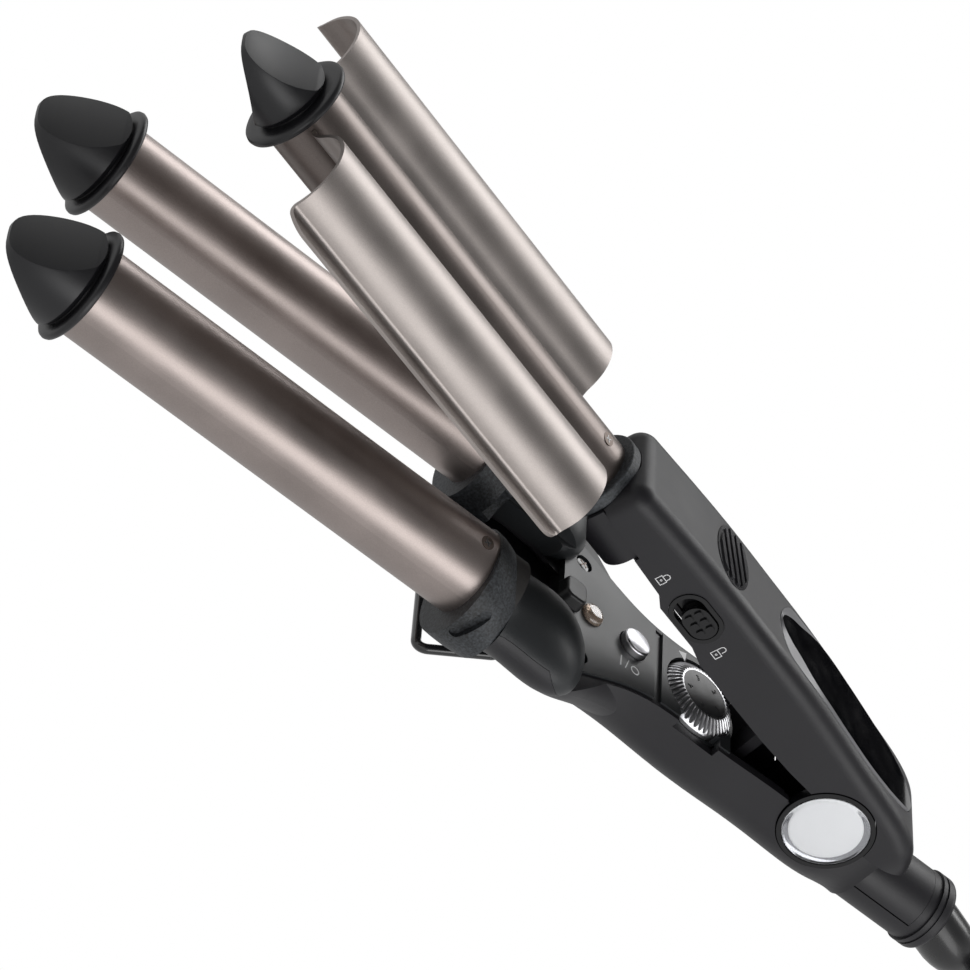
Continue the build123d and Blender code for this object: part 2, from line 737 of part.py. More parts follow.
# Outlines of the badge and of its top facet in plan: place, half width
badge_stations = ((52.6, 0), (51.8, 3.6), (49.5, 7.2), (45.5, 9.1), (32, 9.6), (16, 9.6), (2, 8.8), (-7, 6.8),
                  (-12.5, 3.9), (-14.8, 0))
facet_stations = ((50.4, 0), (48.6, 1.7), (44.0, 3.2), (34, 4.3), (20, 5.0), (6, 5.0), (-2, 4.4), (-8, 3.0),
                  (-11.6, 1.4), (-12.8, 0))


def badge_outline(stations, grow):
    """A closed curve through stations either side of the middle, let out by grow."""
    front = stations[0][0] + grow
    rear = stations[-1][0] - grow
    flank = [(x, half + grow) for x, half in stations[1:-1]]
    with BuildSketch(level_low) as outline:
        with BuildLine():
            Spline((front, 0), *flank, (rear, 0), *((x, -half) for x, half in reversed(flank)), periodic=True)
        make_face()
    return outline.sketch


def roof_band(low, high, stations, grow=0.0):
    """A layer of the badge that follows the roof, between two depths under it."""
    with BuildPart() as form:
        with BuildSketch(side(UPPER, 20)):
            with BuildLine():
                upper_line = Spline([(x, z - low) for x, z in roof_points])
                lower_line = Spline([(x, z - high) for x, z in roof_points])
                Line(upper_line @ 0, lower_line @ 0)
                Line(upper_line @ 1, lower_line @ 1)
            make_face()
        extrude(amount=40)
    with BuildPart() as prism:
        add(badge_outline(stations, grow))
        extrude(amount=60, dir=UPPER.z_dir)
    return form.part & prism.part


with BuildPart() as upper_shell:
    add(arm_outside)
    add(arm_inside & block(UPPER, (-40, -40, -40), (arm_front - arm_wall, 40, 40)), mode=Mode.SUBTRACT)
    # nose stops on the casing's shoulder when the arm is open
    add(block(LOWER, (-60, -40, -60), (6, 40, play)), mode=Mode.SUBTRACT)
    add(hub_hole, mode=Mode.SUBTRACT)
    # front: bore of the centre mount, and the housing's seat below the seam
    add(block(UPPER, (housing_rear - seam, -30, -30), (arm_front + 1, 30, 6.8)), mode=Mode.SUBTRACT)
    ring_room = rod(UPPER, 0, centre_z, guard_ring_r + seam, guard_ring_start - seam, arm_front + 2)
    add(ring_room, mode=Mode.SUBTRACT)
    add(rod(UPPER, 0, centre_z, socket_bore + seam, 100, arm_front), mode=Mode.SUBTRACT)
    # hinge lugs hang from the roof
    lugs = UPPER.location * lug_pair(*upper_lug, 13.8)
    add(lugs & arm_outside)
    # frame of the lock, and seats of the grip and the badge
    with BuildSketch(side(UPPER, handle_half + 2)):
        with Locations((lock_x, lock_z)):
            SlotOverall(lock_length + 2 * seam, lock_height + 2 * seam)
    extrude(amount=6, mode=Mode.SUBTRACT)
    with BuildSketch(UPPER.offset(18.2)):
        with Locations((grip_x, 0)):
            Ellipse(grip_length / 2 + seam, grip_width / 2 + seam)
    extrude(amount=5, mode=Mode.SUBTRACT)
    add(roof_band(-3, badge_depth + seam, badge_stations, seam), mode=Mode.SUBTRACT)
finish(upper_shell.part, "upper_shell")

with BuildPart() as centre_housing:
    with BuildSketch(across(UPPER, housing_rear)) as section:
        height = 6.7 - housing_bottom
        with Locations((0, housing_bottom + height / 2)):
            Rectangle(2 * housing_half, height)
        fillet(section.vertices().group_by(Axis.Y)[0], housing_corner)
    extrude(amount=guard_ring_start - housing_rear)
    # the underside rises towards the barrel
    with BuildSketch(side(UPPER, 20)):
        with BuildLine():
            Polyline((101, -12), (101, housing_bottom), (110.5, 3), (110.5, -12), close=True)
        make_face()
    extrude(amount=40, mode=Mode.SUBTRACT)
    with BuildSketch(across(UPPER, housing_rear)):
        with Locations((0, 6.7 + 3)):
            Rectangle(2 * (handle_half - arm_wall - seam), 6)
    extrude(amount=arm_front - arm_wall - 3 - housing_rear)
    add(rod(UPPER, 0, centre_z, socket_bore, 98, arm_front + 1), mode=Mode.SUBTRACT)
finish(centre_housing.part, "centre_housing")

with BuildPart() as upper_liner:
    liner_half = handle_half - arm_wall - seam
    add(block(UPPER, (40, -liner_half, 4.6), (housing_rear - seam, liner_half, 5.8)))
finish(upper_liner.part, "upper_liner")

centre_hub_r = centre_r - barrel_wall - seam / 2
with BuildPart() as centre_guard:
    add(rod(UPPER, 0, centre_z, guard_ring_r, guard_ring_start, centre_start))
    fillet(centre_guard.edges().filter_by(GeomType.CIRCLE), 0.5)
    add(rod(UPPER, 0, centre_z, centre_hub_r + seam / 2, 100, 120), mode=Mode.SUBTRACT)
finish(centre_guard.part, "centre_guard")

centre_cap = ((0, 9.3, 8.6), (6.3, 9.2, 7.2), (13.3, 8.2, 4.8), (17.3, 6.0, 2.8), (18.6, 3.6, 1.4))
centre_screw = root_screw(UPPER, 0, centre_z, centre_r, 119.6, 81)
centre_mount = mount_form(UPPER, 0, centre_z, centre_z, socket_bore - seam / 2, 98 + seam, guard_ring_start,
                          centre_start, centre_hub_r)
centre_barrel = barrel_form(UPPER, 0, centre_z, centre_r, centre_start, centre_end)
finish(centre_screw, "centre_screw")
finish(centre_mount - centre_screw, "centre_mount")
finish(centre_barrel - centre_screw, "centre_barrel")
finish(heater_form(UPPER, 0, centre_z, centre_r, centre_start, centre_end), "centre_heater")
finish(tip_form(UPPER, 0, centre_z, centre_r, centre_end, centre_cap), "centre_tip")

# ---------------------------------------------------------------- wings
for name, sign in (("near", 1), ("far", -1)):
    with BuildPart() as wing:
        with BuildSketch(across(UPPER, wing_start)):
            with BuildLine():
                # middle line of the sheet: brim, arch over the lower barrel, valley
                arch_r = wing_r_in + wing_t / 2
                to_flare = arch_r + wing_flare_r
                lean = degrees(asin((wing_flare_z + wing_flare_r - barrel_z) / to_flare))
                brim_y = barrel_y + to_flare * cos(radians(lean))
                Line((wing_edge_y, wing_flare_z), (brim_y, wing_flare_z))
                CenterArc((brim_y, wing_flare_z + wing_flare_r), wing_flare_r, 270, lean - 90)
                arch = CenterArc((barrel_y, barrel_z), arch_r, lean, wing_arch_end - lean)
                TangentArc(arch @ 1, wing_valley, tangent=arch % 1)
            trace(line_width=wing_t)
        extrude(amount=wing_end - wing_start)
        with BuildSketch(UPPER.offset(-10)):
            with Locations(((wing_start + wing_end) / 2, 0)):
                RectangleRounded(wing_end - wing_start, 2 * wing_edge_y, wing_corner)
        extrude(amount=50, mode=Mode.INTERSECT)
    made = wing.part - rod(UPPER, 0, centre_z, centre_r, 110, 240)
    finish(made if sign > 0 else mirror(made, about=Plane.XZ), "wing_" + name)

# ---------------------------------------------------------------- grip, badge and lock
with BuildPart() as thumb_grip:
    with BuildSketch(UPPER.offset(18.2)):
        with Locations((grip_x, 0)):
            Ellipse(grip_length / 2, grip_width / 2)
    extrude(amount=1.5)
    # bold ridges across the grip, slanting back from the near side
    with BuildSketch(UPPER.offset(19.7)):
        for step in range(-2, 3):
            with Locations((grip_x + 2.5 * step, 0)):
                SlotOverall(18, 1.3, rotation=102)
        with Locations((grip_x, 0)):
            Ellipse(grip_length / 2 - 0.9, grip_width / 2 - 0.9, mode=Mode.INTERSECT)
    extrude(amount=0.5)
finish(thumb_grip.part, "thumb_grip")

with BuildPart() as badge_trim:
    add(roof_band(-badge_lift, badge_depth, badge_stations))
    add(roof_band(-3, badge_depth + 1, facet_stations), mode=Mode.SUBTRACT)
finish(badge_trim.part, "badge_trim")
with BuildPart() as badge_window:
    add(roof_band(-badge_lift, badge_depth, facet_stations, -seam / 2))
finish(badge_window.part, "badge_window")

with BuildPart() as lock_frame:
    with BuildSketch(side(UPPER, handle_half + 0.3)):
        with Locations((lock_x, lock_z)):
            SlotOverall(lock_length, lock_height)
            SlotOverall(lock_length - 2 * lock_rim, lock_height - 2 * lock_rim, mode=Mode.SUBTRACT)
    extrude(amount=2.3)
finish(lock_frame.part, "lock_frame")

knob_x = lock_x - lock_travel / 2
with BuildPart() as lock_slider:
    with BuildSketch(side(UPPER, handle_half + 0.4)):
        with Locations((knob_x, lock_z)):
            SlotOverall(knob_length, knob_height)
    extrude(amount=arm_wall + 0.3)
    with BuildSketch(side(UPPER, handle_half + 0.9)):
        with Locations((knob_x, lock_z)):
            with GridLocations(2.5, 2.6, 3, 2):
                RectangleRounded(1.8, 1.9, 0.5)
    extrude(amount=0.6)
    # bolt plate over the liner, with a window whose rear bar slips under the catch's nose
    with BuildSketch(UPPER.offset(bolt_z)):
        with Locations(((15 + 74) / 2, 0)):
            RectangleRounded(74 - 15, 14, 1)
        with Locations((knob_x, 8)):
            Rectangle(6, 8)
        with Locations(((19.8 + 31.0) / 2, 0)):
            Rectangle(31.0 - 19.8, 7.4, mode=Mode.SUBTRACT)
    extrude(amount=bolt_t)
    # plate behind the frame, so that its opening shows no gap wherever the knob stands
    add(block(UPPER, (60.5, 10.8, bolt_z), (80.5, 11.45, 13.0)))
finish(lock_slider.part, "lock_slider")

# ---------------------------------------------------------------- wire stand
with BuildPart() as stand:
    with BuildLine() as stand_wire:
        stub = stand_half - 3.9
        FilletPolyline((stand_pivot_x, stub, stand_pivot_z), (stand_pivot_x, stand_half, stand_pivot_z),
                       (stand_corner_x, stand_half, floor_z + wire_r),
                       (stand_corner_x, -stand_half, floor_z + wire_r),
                       (stand_pivot_x, -stand_half, stand_pivot_z), (stand_pivot_x, -stub, stand_pivot_z),
                       radius=(1.4, 3.0, 3.0, 1.4))
    with BuildSketch(Plane(origin=stand_wire.line @ 0, z_dir=stand_wire.line % 0)):
        Circle(wire_r)
    sweep(path=stand_wire.line, transition=Transition.ROUND)
finish(stand.part, "stand")

# ---------------------------------------------------------------- tail, cord and plug
outward = Vector(-cos(tilt), 0, -sin(tilt))
sleeve_centre = Vector(sleeve_x, 0, tail_z)
SLEEVE = Plane(origin=sleeve_centre, x_dir=outward, z_dir=(0, 1, 0))


def sleeve_form(grow):
    """Ball and tapered strain relief about the cord's exit axis."""
    with BuildPart() as form:
        with BuildSketch(SLEEVE):
            with BuildLine():
                ball = CenterArc((0, 0), ball_r + grow, 90, 90)
                Line(ball @ 0, (11, ball_r + grow))
                ThreePointArc((11, ball_r + grow), (15.5, 6.3 + grow), (19, sleeve_tip_r + 0.4 + grow))
                Polyline((19, sleeve_tip_r + 0.4 + grow), (sleeve_length, sleeve_tip_r + grow),
                         (sleeve_length, 0),
                         ball @ 1)
            make_face()
        revolve(axis=Axis(sleeve_centre, outward))
    return form.part


with BuildPart() as cord_swivel_sleeve:
    add(sleeve_form(0))
    for step in range(4):
        groove = Plane(origin=sleeve_centre + outward * (8 + 2.4 * step), z_dir=outward)
        with BuildSketch(groove):
            Circle(9)
            Circle(6.7 - 0.25 * step, mode=Mode.SUBTRACT)
        extrude(amount=0.9, mode=Mode.SUBTRACT)
finish(cord_swivel_sleeve.part, "cord_swivel_sleeve")

with BuildPart() as tail_ring:
    with BuildSketch(across(LOWER, ring_end)):
        with Locations((0, tail_z)):
            Circle(ring_r)
    extrude(amount=tail_end - ring_end)
    fillet(tail_ring.edges().group_by(Axis.X)[0], 1.6)
    with BuildSketch(across(LOWER, (tail_end + ring_end) / 2 + 0.6)):
        with Locations((0, tail_z)):
            Circle(ring_r + 1)
            Circle(ring_r - 0.35, mode=Mode.SUBTRACT)
    extrude(amount=0.7, mode=Mode.SUBTRACT)
    add(sleeve_form(play), mode=Mode.SUBTRACT)
    add(rod(LOWER, 0, tail_z, ball_r - 1.2, tail_end - 4, tail_end + 1), mode=Mode.SUBTRACT)
finish(tail_ring.part, "tail_ring")

cord_z = floor_z + cord_r + 0.01
sleeve_tip = sleeve_centre + outward * sleeve_length
lead_points = [
    tuple(sleeve_tip), tuple(sleeve_tip + outward * 3.2), (-74.6, 0.1, cord_z), (-80.2, 0.9, cord_z),
    (-88.5, 4.2, cord_z), (-96.5, 9.0, cord_z), (-104.5, 14.2, cord_z),
]
tail_points = [(-150.0, 30, cord_z), (-159.5, 30.9, cord_z), (-169, 30.9, cord_z), (-178, 30.1, cord_z)]


def corner_radii(points):
    """Radius of each corner's arc: 0.45 of the shorter run over the tangent of half the turn."""
    corners = [Vector(*point) for point in points]
    radii = []
    for before, at, after in zip(corners, corners[1:], corners[2:]):
        turn = radians((at - before).get_angle(after - at))
        radii.append(0.45 * min((at - before).length, (after - at).length) / tan(turn / 2))
    return radii


def cord_form(points):
    """A stretch of the cord: straight runs joined by tangent arcs."""
    radii = corner_radii(points)
    with BuildPart() as form:
        with BuildLine() as route:
            FilletPolyline(*points, radius=radii)
        with BuildSketch(Plane(origin=route.line @ 0, z_dir=route.line % 0)):
            Circle(cord_r)
        sweep(path=route.line)
    return form.part, sum(edge.length for edge in route.line.edges())


lead, lead_length = cord_form(lead_points)
tail, plug_tail_length = cord_form(tail_points)
finish(lead, "power_cord")
finish(tail, "plug_cord")

tie_turn = 60.0
tie_place = Plane(origin=(coil_x, coil_y, floor_z), x_dir=(cos(radians(tie_turn)), sin(radians(tie_turn)), 0),
                  z_dir=(sin(radians(tie_turn)), -cos(radians(tie_turn)), 0))
with BuildPart() as cord_tie:
    with BuildSketch(tie_place.offset(-tie_width / 2)):
        with Locations((coil_mid_r, (coil_height + tie_t) / 2)):
            RectangleRounded(coil_width + 2 * tie_t, coil_height + tie_t, 3)
        with Locations((coil_mid_r, (coil_height + tie_t) / 2)):
            RectangleRounded(coil_width, coil_height - tie_t, 2, mode=Mode.SUBTRACT)
    extrude(amount=tie_width)
finish(cord_tie.part, "cord_tie")

with BuildPart() as cord_coil:
    with BuildSketch(Plane(origin=(coil_x, coil_y, floor_z), x_dir=(1, 0, 0), z_dir=(0, -1, 0))):
        with Locations((coil_mid_r, coil_height / 2)):
            RectangleRounded(coil_width, coil_height, 5)
    revolve(axis=Axis((coil_x, coil_y, 0), (0, 0, 1)))
    add(cord_tie.part, mode=Mode.SUBTRACT)
finish(cord_coil.part, "cord_coil")

plug_start = Vector(*tail_points[-1])
plug_out = (plug_start - Vector(*tail_points[-2])).normalized()
plug_side = Vector(0, 0, 1).cross(plug_out)
PLUG = Plane(origin=plug_start, x_dir=plug_side, z_dir=plug_out)
plug_height = 14.0
plug_lift = plug_height / 2 - cord_r - 0.01
with BuildPart() as plug_body:
    with BuildSketch(PLUG):
        Circle(cord_r + 0.9)
    with BuildSketch(PLUG.offset(12)):
        with Locations((0, plug_lift * 0.9)):
            Circle(5.4)
    loft()
    with BuildSketch(PLUG.offset(12)):
        with Locations((0, plug_lift)):
            RectangleRounded(15, 12.5, 5)
    with BuildSketch(PLUG.offset(22)):
        with Locations((0, plug_lift)):
            RectangleRounded(23, plug_height, 5)
    with BuildSketch(PLUG.offset(34)):
        with Locations((0, plug_lift)):
            RectangleRounded(24, plug_height, 4)
    loft()
finish(plug_body.part, "plug_body")

with BuildPart() as plug_blades:
    with BuildSketch(PLUG.offset(34)):
        with Locations((-6.35, plug_lift), (6.35, plug_lift)):
            RectangleRounded(1.5, 6.3, 0.3)
    extrude(amount=17)
finish(plug_blades.part, "plug_blades")

turn_length = 2 * pi * coil_mid_r
print("turns in the coil", round((cord_length - lead_length - plug_tail_length) / turn_length, 2))
print("frame shift", round(-(front_x + rear_x) / 2, 4), -floor_z)
print("cord stretches", round(lead_length, 1), round(plug_tail_length, 1))
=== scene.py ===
import json
from math import cos, pi, radians, sin

import bmesh
import bpy
from mathutils import Matrix, Vector


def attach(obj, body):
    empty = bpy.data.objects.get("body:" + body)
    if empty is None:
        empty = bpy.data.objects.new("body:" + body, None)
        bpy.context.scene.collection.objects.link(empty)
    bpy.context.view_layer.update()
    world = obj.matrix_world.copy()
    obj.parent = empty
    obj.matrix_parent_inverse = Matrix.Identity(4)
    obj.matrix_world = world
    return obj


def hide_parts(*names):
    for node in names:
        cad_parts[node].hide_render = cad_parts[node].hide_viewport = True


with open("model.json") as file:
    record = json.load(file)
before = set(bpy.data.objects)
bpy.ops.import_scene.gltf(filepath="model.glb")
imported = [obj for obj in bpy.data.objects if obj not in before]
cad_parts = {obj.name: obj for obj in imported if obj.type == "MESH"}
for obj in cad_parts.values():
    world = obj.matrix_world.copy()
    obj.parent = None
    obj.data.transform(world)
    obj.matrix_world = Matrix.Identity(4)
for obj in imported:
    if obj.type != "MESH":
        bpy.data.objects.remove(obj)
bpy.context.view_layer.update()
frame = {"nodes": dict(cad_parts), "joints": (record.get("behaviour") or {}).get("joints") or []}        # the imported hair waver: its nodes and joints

# ---------------------------------------------------------------- viewpoint, floor and light
# The waver stands on a white table and is seen from its near side, above the tips' end. The room is
# white to head height and dark above, a tall softbox beside the waver draws the bright band on the
# barrels, another beyond it lights the upward faces, and a black flag keeps the badge black.
joint = {j["name"]: j for j in frame["joints"]}
hinge_place = Vector(joint["arm_hinge"]["pos_m"])
MM = 0.001

camera_from_hinge = Vector((523.5, 836.0, 513.7)) * MM
camera_right = Vector((-0.7404, -0.0478, 0.6704))
camera_up = Vector((0.5546, -0.6070, 0.5692))
camera_back = camera_right.cross(camera_up)
camera = bpy.data.objects.new("camera", bpy.data.cameras.new("camera"))
bpy.context.scene.collection.objects.link(camera)
camera.data.sensor_width = 36.0
camera.data.lens = 167.96
camera_axes = Matrix((camera_right, camera_up, camera_back)).transposed()
camera.matrix_world = Matrix.Translation(hinge_place + camera_from_hinge) @ camera_axes.to_4x4()
bpy.context.scene.camera = camera
bpy.context.scene.view_settings.view_transform = "Standard"


def node_tree(material):
    """The material's nodes and links, which start with its shader and output."""
    material.use_nodes = True
    return material.node_tree.nodes, material.node_tree.links


room = bpy.data.worlds.new("white_room")
bpy.context.scene.world = room
room.use_nodes = True
backdrop = room.node_tree.nodes["Background"]
backdrop.inputs["Color"].default_value = (1.0, 1.0, 1.0, 1)
direction = room.node_tree.nodes.new("ShaderNodeTexCoord")
height = room.node_tree.nodes.new("ShaderNodeSeparateXYZ")
fall = room.node_tree.nodes.new("ShaderNodeMapRange")
fall.interpolation_type = "SMOOTHSTEP"
fall.inputs["From Min"].default_value = 0.22
fall.inputs["From Max"].default_value = 0.62
fall.inputs["To Min"].default_value = 0.78
fall.inputs["To Max"].default_value = 0.16
room.node_tree.links.new(direction.outputs["Generated"], height.inputs[0])
room.node_tree.links.new(height.outputs["Z"], fall.inputs["Value"])
room.node_tree.links.new(fall.outputs["Result"], backdrop.inputs["Strength"])

table_paper = bpy.data.materials.new("table_paper")
nodes, links = node_tree(table_paper)
paper = nodes["Principled BSDF"]
paper.inputs["Base Color"].default_value = (0.9, 0.9, 0.9, 1)
paper.inputs["Roughness"].default_value = 0.9
paper.inputs["Specular IOR Level"].default_value = 0.0
glow = nodes.new("ShaderNodeEmission")
rays = nodes.new("ShaderNodeLightPath")
# reflections see the table dimmer than the camera does
dimmer = nodes.new("ShaderNodeMapRange")
dimmer.inputs["To Min"].default_value = 1.0
dimmer.inputs["To Max"].default_value = 0.62
links.new(rays.outputs["Is Glossy Ray"], dimmer.inputs["Value"])
links.new(dimmer.outputs["Result"], glow.inputs["Strength"])
camera_or_glossy = nodes.new("ShaderNodeMath")
camera_or_glossy.operation = "MAXIMUM"
seen = nodes.new("ShaderNodeMath")
seen.operation = "MAXIMUM"
mix = nodes.new("ShaderNodeMixShader")
links.new(rays.outputs["Is Camera Ray"], camera_or_glossy.inputs[0])
links.new(rays.outputs["Is Glossy Ray"], camera_or_glossy.inputs[1])
links.new(camera_or_glossy.outputs[0], seen.inputs[0])
links.new(rays.outputs["Is Transmission Ray"], seen.inputs[1])
links.new(seen.outputs[0], mix.inputs[0])
links.new(paper.outputs[0], mix.inputs[1])
links.new(glow.outputs[0], mix.inputs[2])
links.new(mix.outputs[0], nodes["Material Output"].inputs["Surface"])

table = bmesh.new()
bmesh.ops.create_grid(table, x_segments=1, y_segments=1, size=4.0)
table_mesh = bpy.data.meshes.new("table")
table.to_mesh(table_mesh)
table_top = bpy.data.objects.new("table", table_mesh)
table_mesh.materials.append(table_paper)
bpy.context.scene.collection.objects.link(table_top)


def softbox(name, place, aim, width, height, watts):
    """A rectangular lamp at place that faces aim."""
    lamp = bpy.data.lights.new(name, "AREA")
    lamp.shape = "RECTANGLE"
    lamp.size, lamp.size_y = width, height
    lamp.energy = watts
    holder = bpy.data.objects.new(name, lamp)
    bpy.context.scene.collection.objects.link(holder)
    facing = (Vector(aim) - Vector(place)).to_track_quat("-Z", "Y")
    holder.matrix_world = Matrix.Translation(place) @ facing.to_matrix().to_4x4()


softbox("side_softbox", (-0.40, 1.10, 0.30), (0.05, 0.0, 0.06), 1.8, 0.62, 7.0)
softbox("far_softbox", (-0.66, -0.90, 0.80), (0.0, 0.0, 0.06), 1.5, 0.62, 10.5)

flag_black = bpy.data.materials.new("flag_black")
nodes, links = node_tree(flag_black)
nodes["Principled BSDF"].inputs["Base Color"].default_value = (0.0, 0.0, 0.0, 1)
nodes["Principled BSDF"].inputs["Specular IOR Level"].default_value = 0.0
flag = bmesh.new()
bmesh.ops.create_grid(flag, x_segments=1, y_segments=1, size=0.5)
bmesh.ops.scale(flag, vec=(1.5, 0.34, 1.0), verts=flag.verts)
flag_mesh = bpy.data.meshes.new("flag")
flag.to_mesh(flag_mesh)
flag_mesh.materials.append(flag_black)
black_flag = bpy.data.objects.new("flag", flag_mesh)
flag_place = Vector((-0.72, -0.68, 0.175))
black_flag.matrix_world = (Matrix.Translation(flag_place)
                           @ (-flag_place).to_track_quat("Z", "Y").to_matrix().to_4x4())
bpy.context.scene.collection.objects.link(black_flag)
black_flag.visible_camera = False
black_flag.visible_diffuse = False
black_flag.visible_shadow = False

# ---------------------------------------------------------------- lower casing and tail
# The lower half of the handle, in glass-filled nylon with a fine spark-eroded grain. Its tail is a
# round tube closed by a half cover and by the end ring that holds the cord's swivel.
def grained(name, colour, roughness, grain, depth, mottle=0.12, metallic=0.0):
    """A surface with a fine grain: grain is the size of its specks in mm, depth their height in mm."""
    material = bpy.data.materials.new(name)
    nodes, links = node_tree(material)
    shader = nodes["Principled BSDF"]
    shader.inputs["Metallic"].default_value = metallic
    place = nodes.new("ShaderNodeTexCoord")
    specks = nodes.new("ShaderNodeTexNoise")
    specks.inputs["Scale"].default_value = 1 / (grain * MM)
    specks.inputs["Detail"].default_value = 3.0
    clouds = nodes.new("ShaderNodeTexNoise")
    clouds.inputs["Scale"].default_value = 55.0
    clouds.inputs["Detail"].default_value = 4.0
    links.new(place.outputs["Object"], specks.inputs["Vector"])
    links.new(place.outputs["Object"], clouds.inputs["Vector"])
    tint = nodes.new("ShaderNodeMix")
    tint.data_type = "RGBA"
    tint.inputs["A"].default_value = (*(c * (1 - mottle) for c in colour), 1)
    tint.inputs["B"].default_value = (*(min(1.0, c * (1 + mottle)) for c in colour), 1)
    spread = nodes.new("ShaderNodeMath")
    spread.operation = "ADD"
    contrast = nodes.new("ShaderNodeMapRange")
    contrast.inputs["From Min"].default_value = 0.75
    contrast.inputs["From Max"].default_value = 1.25
    links.new(specks.outputs["Fac"], spread.inputs[0])
    links.new(clouds.outputs["Fac"], spread.inputs[1])
    links.new(spread.outputs[0], contrast.inputs["Value"])
    links.new(contrast.outputs["Result"], tint.inputs["Factor"])
    links.new(tint.outputs["Result"], shader.inputs["Base Color"])
    sheen = nodes.new("ShaderNodeMapRange")
    sheen.inputs["From Min"].default_value = 0.3
    sheen.inputs["From Max"].default_value = 0.7
    sheen.inputs["To Min"].default_value = roughness - 0.04
    sheen.inputs["To Max"].default_value = roughness + 0.05
    links.new(clouds.outputs["Fac"], sheen.inputs["Value"])
    links.new(sheen.outputs["Result"], shader.inputs["Roughness"])
    bump = nodes.new("ShaderNodeBump")
    bump.inputs["Strength"].default_value = 1.0
    bump.inputs["Distance"].default_value = depth * MM
    links.new(specks.outputs["Fac"], bump.inputs["Height"])
    links.new(bump.outputs["Normal"], shader.inputs["Normal"])
    return material


def dress(material, *names):
    """Give nodes of the frame their finish."""
    for name in names:
        for slot in frame["nodes"][name].material_slots:
            slot.material = material


charcoal = grained("charcoal_nylon", (0.0100, 0.0094, 0.0122), 0.46, 0.30, 0.010)
dress(charcoal, "lower_shell", "tail_cover", "tail_ring")

# ---------------------------------------------------------------- control panel
# The cover of the lower casing: a flat satin panel with the sockets' upper halves on its ends. Its
# marks are pad printed in white: the on and off strokes and the pointer of the dial.
panel_satin = grained("panel_satin", (0.018, 0.020, 0.022), 0.40, 0.22, 0.004)
dress(panel_satin, "top_cover")

LOWER = Matrix.Translation(hinge_place) @ Matrix.Scale(MM, 4)      # the lower arm's frame, in mm
open_angle = radians(14.06)
UPPER = LOWER @ Matrix.Rotation(-open_angle, 4, "Y")               # the upper arm's frame, in mm
DECK = LOWER @ Matrix.Translation((0, 0, 0.9))                     # top of the panel
ink_lift = 0.03


def piece(name, drawn, arm, material, body, crease=35.0):
    """A finished piece: drawn in mm in an arm's frame, set in place, smooth but for its creases."""
    bmesh.ops.transform(drawn, matrix=arm, verts=drawn.verts)
    mesh = bpy.data.meshes.new(name)
    drawn.to_mesh(mesh)
    drawn.free()
    mesh.shade_smooth()
    mesh.set_sharp_from_angle(angle=radians(crease))
    mesh.materials.append(material)
    made = bpy.data.objects.new(name, mesh)
    bpy.context.scene.collection.objects.link(made)
    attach(made, body)
    return made


def stroke(drawn, points, width, closed=False):
    """A line of ink through points of the plane, with square corners."""
    line = [Vector((*point, 0)) for point in points]
    count = len(line)
    sides = []
    for i, at in enumerate(line):
        before = line[i - 1] if closed or i else at
        after = line[(i + 1) % count] if closed or i < count - 1 else at
        ahead = (after - at).normalized() if after != at else (at - before).normalized()
        behind = (at - before).normalized() if at != before else ahead
        along = (ahead + behind).normalized()
        out = Vector((-along.y, along.x, 0)) * (width / 2 / max(0.5, along.dot(ahead)))
        sides.append((drawn.verts.new(at + out), drawn.verts.new(at - out)))
    for i in range(count if closed else count - 1):
        left, right = sides[i], sides[(i + 1) % count]
        drawn.faces.new((left[0], left[1], right[1], right[0]))


def raise_ink(drawn):
    """Give flat ink its thickness, facing up."""
    bmesh.ops.recalc_face_normals(drawn, faces=drawn.faces)
    made = bmesh.ops.extrude_face_region(drawn, geom=drawn.faces[:])
    tops = [v for v in made["geom"] if isinstance(v, bmesh.types.BMVert)]
    bmesh.ops.translate(drawn, verts=tops, vec=(0, 0, ink_lift))
    bmesh.ops.recalc_face_normals(drawn, faces=drawn.faces)


def arc(x, y, radius, start, end, steps):
    """Points of an arc, in degrees."""
    turns = [radians(start + (end - start) * i / steps) for i in range(steps + 1)]
    return [(x + radius * cos(turn), y + radius * sin(turn)) for turn in turns]


white_ink = grained("white_ink", (0.85, 0.85, 0.86), 0.5, 0.2, 0.002, mottle=0.02)
marks = bmesh.new()
bold_line, fine_line = 0.36, 0.30
# the strokes lie beside the power button, in line from front to rear: on, a bar, off
stroke(marks, [(69.0, 6.4), (69.15, 10.1)], bold_line)
stroke(marks, [(66.55, 6.3), (67.6, 9.9)], fine_line)
stroke(marks, arc(64.5, 8.4, 1.18, 0, 345, 23), bold_line, closed=True)
raise_ink(marks)
piece("power_marks", marks, DECK, white_ink, "lower_arm")
pointer = bmesh.new()
corners = [pointer.verts.new(corner) for corner in ((50.5, -11.0, 0), (48.0, -12.0, 0), (48.4, -8.6, 0))]
pointer.faces.new(corners)
raise_ink(pointer)
piece("dial_pointer", pointer, DECK, white_ink, "lower_arm")

# ---------------------------------------------------------------- heat guards
# Collars of glass-filled resin at the barrels' roots, with a coarse matte grain that shows the
# fibres. The bridge between them has three shallow steps.
guard_resin = grained("guard_resin", (0.034, 0.038, 0.043), 0.56, 0.60, 0.09, mottle=0.85)
dress(guard_resin, "guard_near", "guard_far", "guard_bridge", "centre_guard")

# ---------------------------------------------------------------- lower barrels
# Drawn aluminium tubes with a warm grey ceramic coat, sprayed satin. One screw holds each root.
lower_coat = grained("barrel_coat", (0.39, 0.337, 0.318), 0.40, 0.20, 0.008, mottle=0.12, metallic=1.0)
dress(lower_coat, "barrel_near", "barrel_far")
barrel_y, barrel_z, barrel_r = 24.43, 5.58, 11.0
dark_screw = grained("dark_screw", (0.09, 0.07, 0.06), 0.35, 0.2, 0.003, metallic=1.0)
dress(dark_screw, "barrel_screws", "centre_screw")

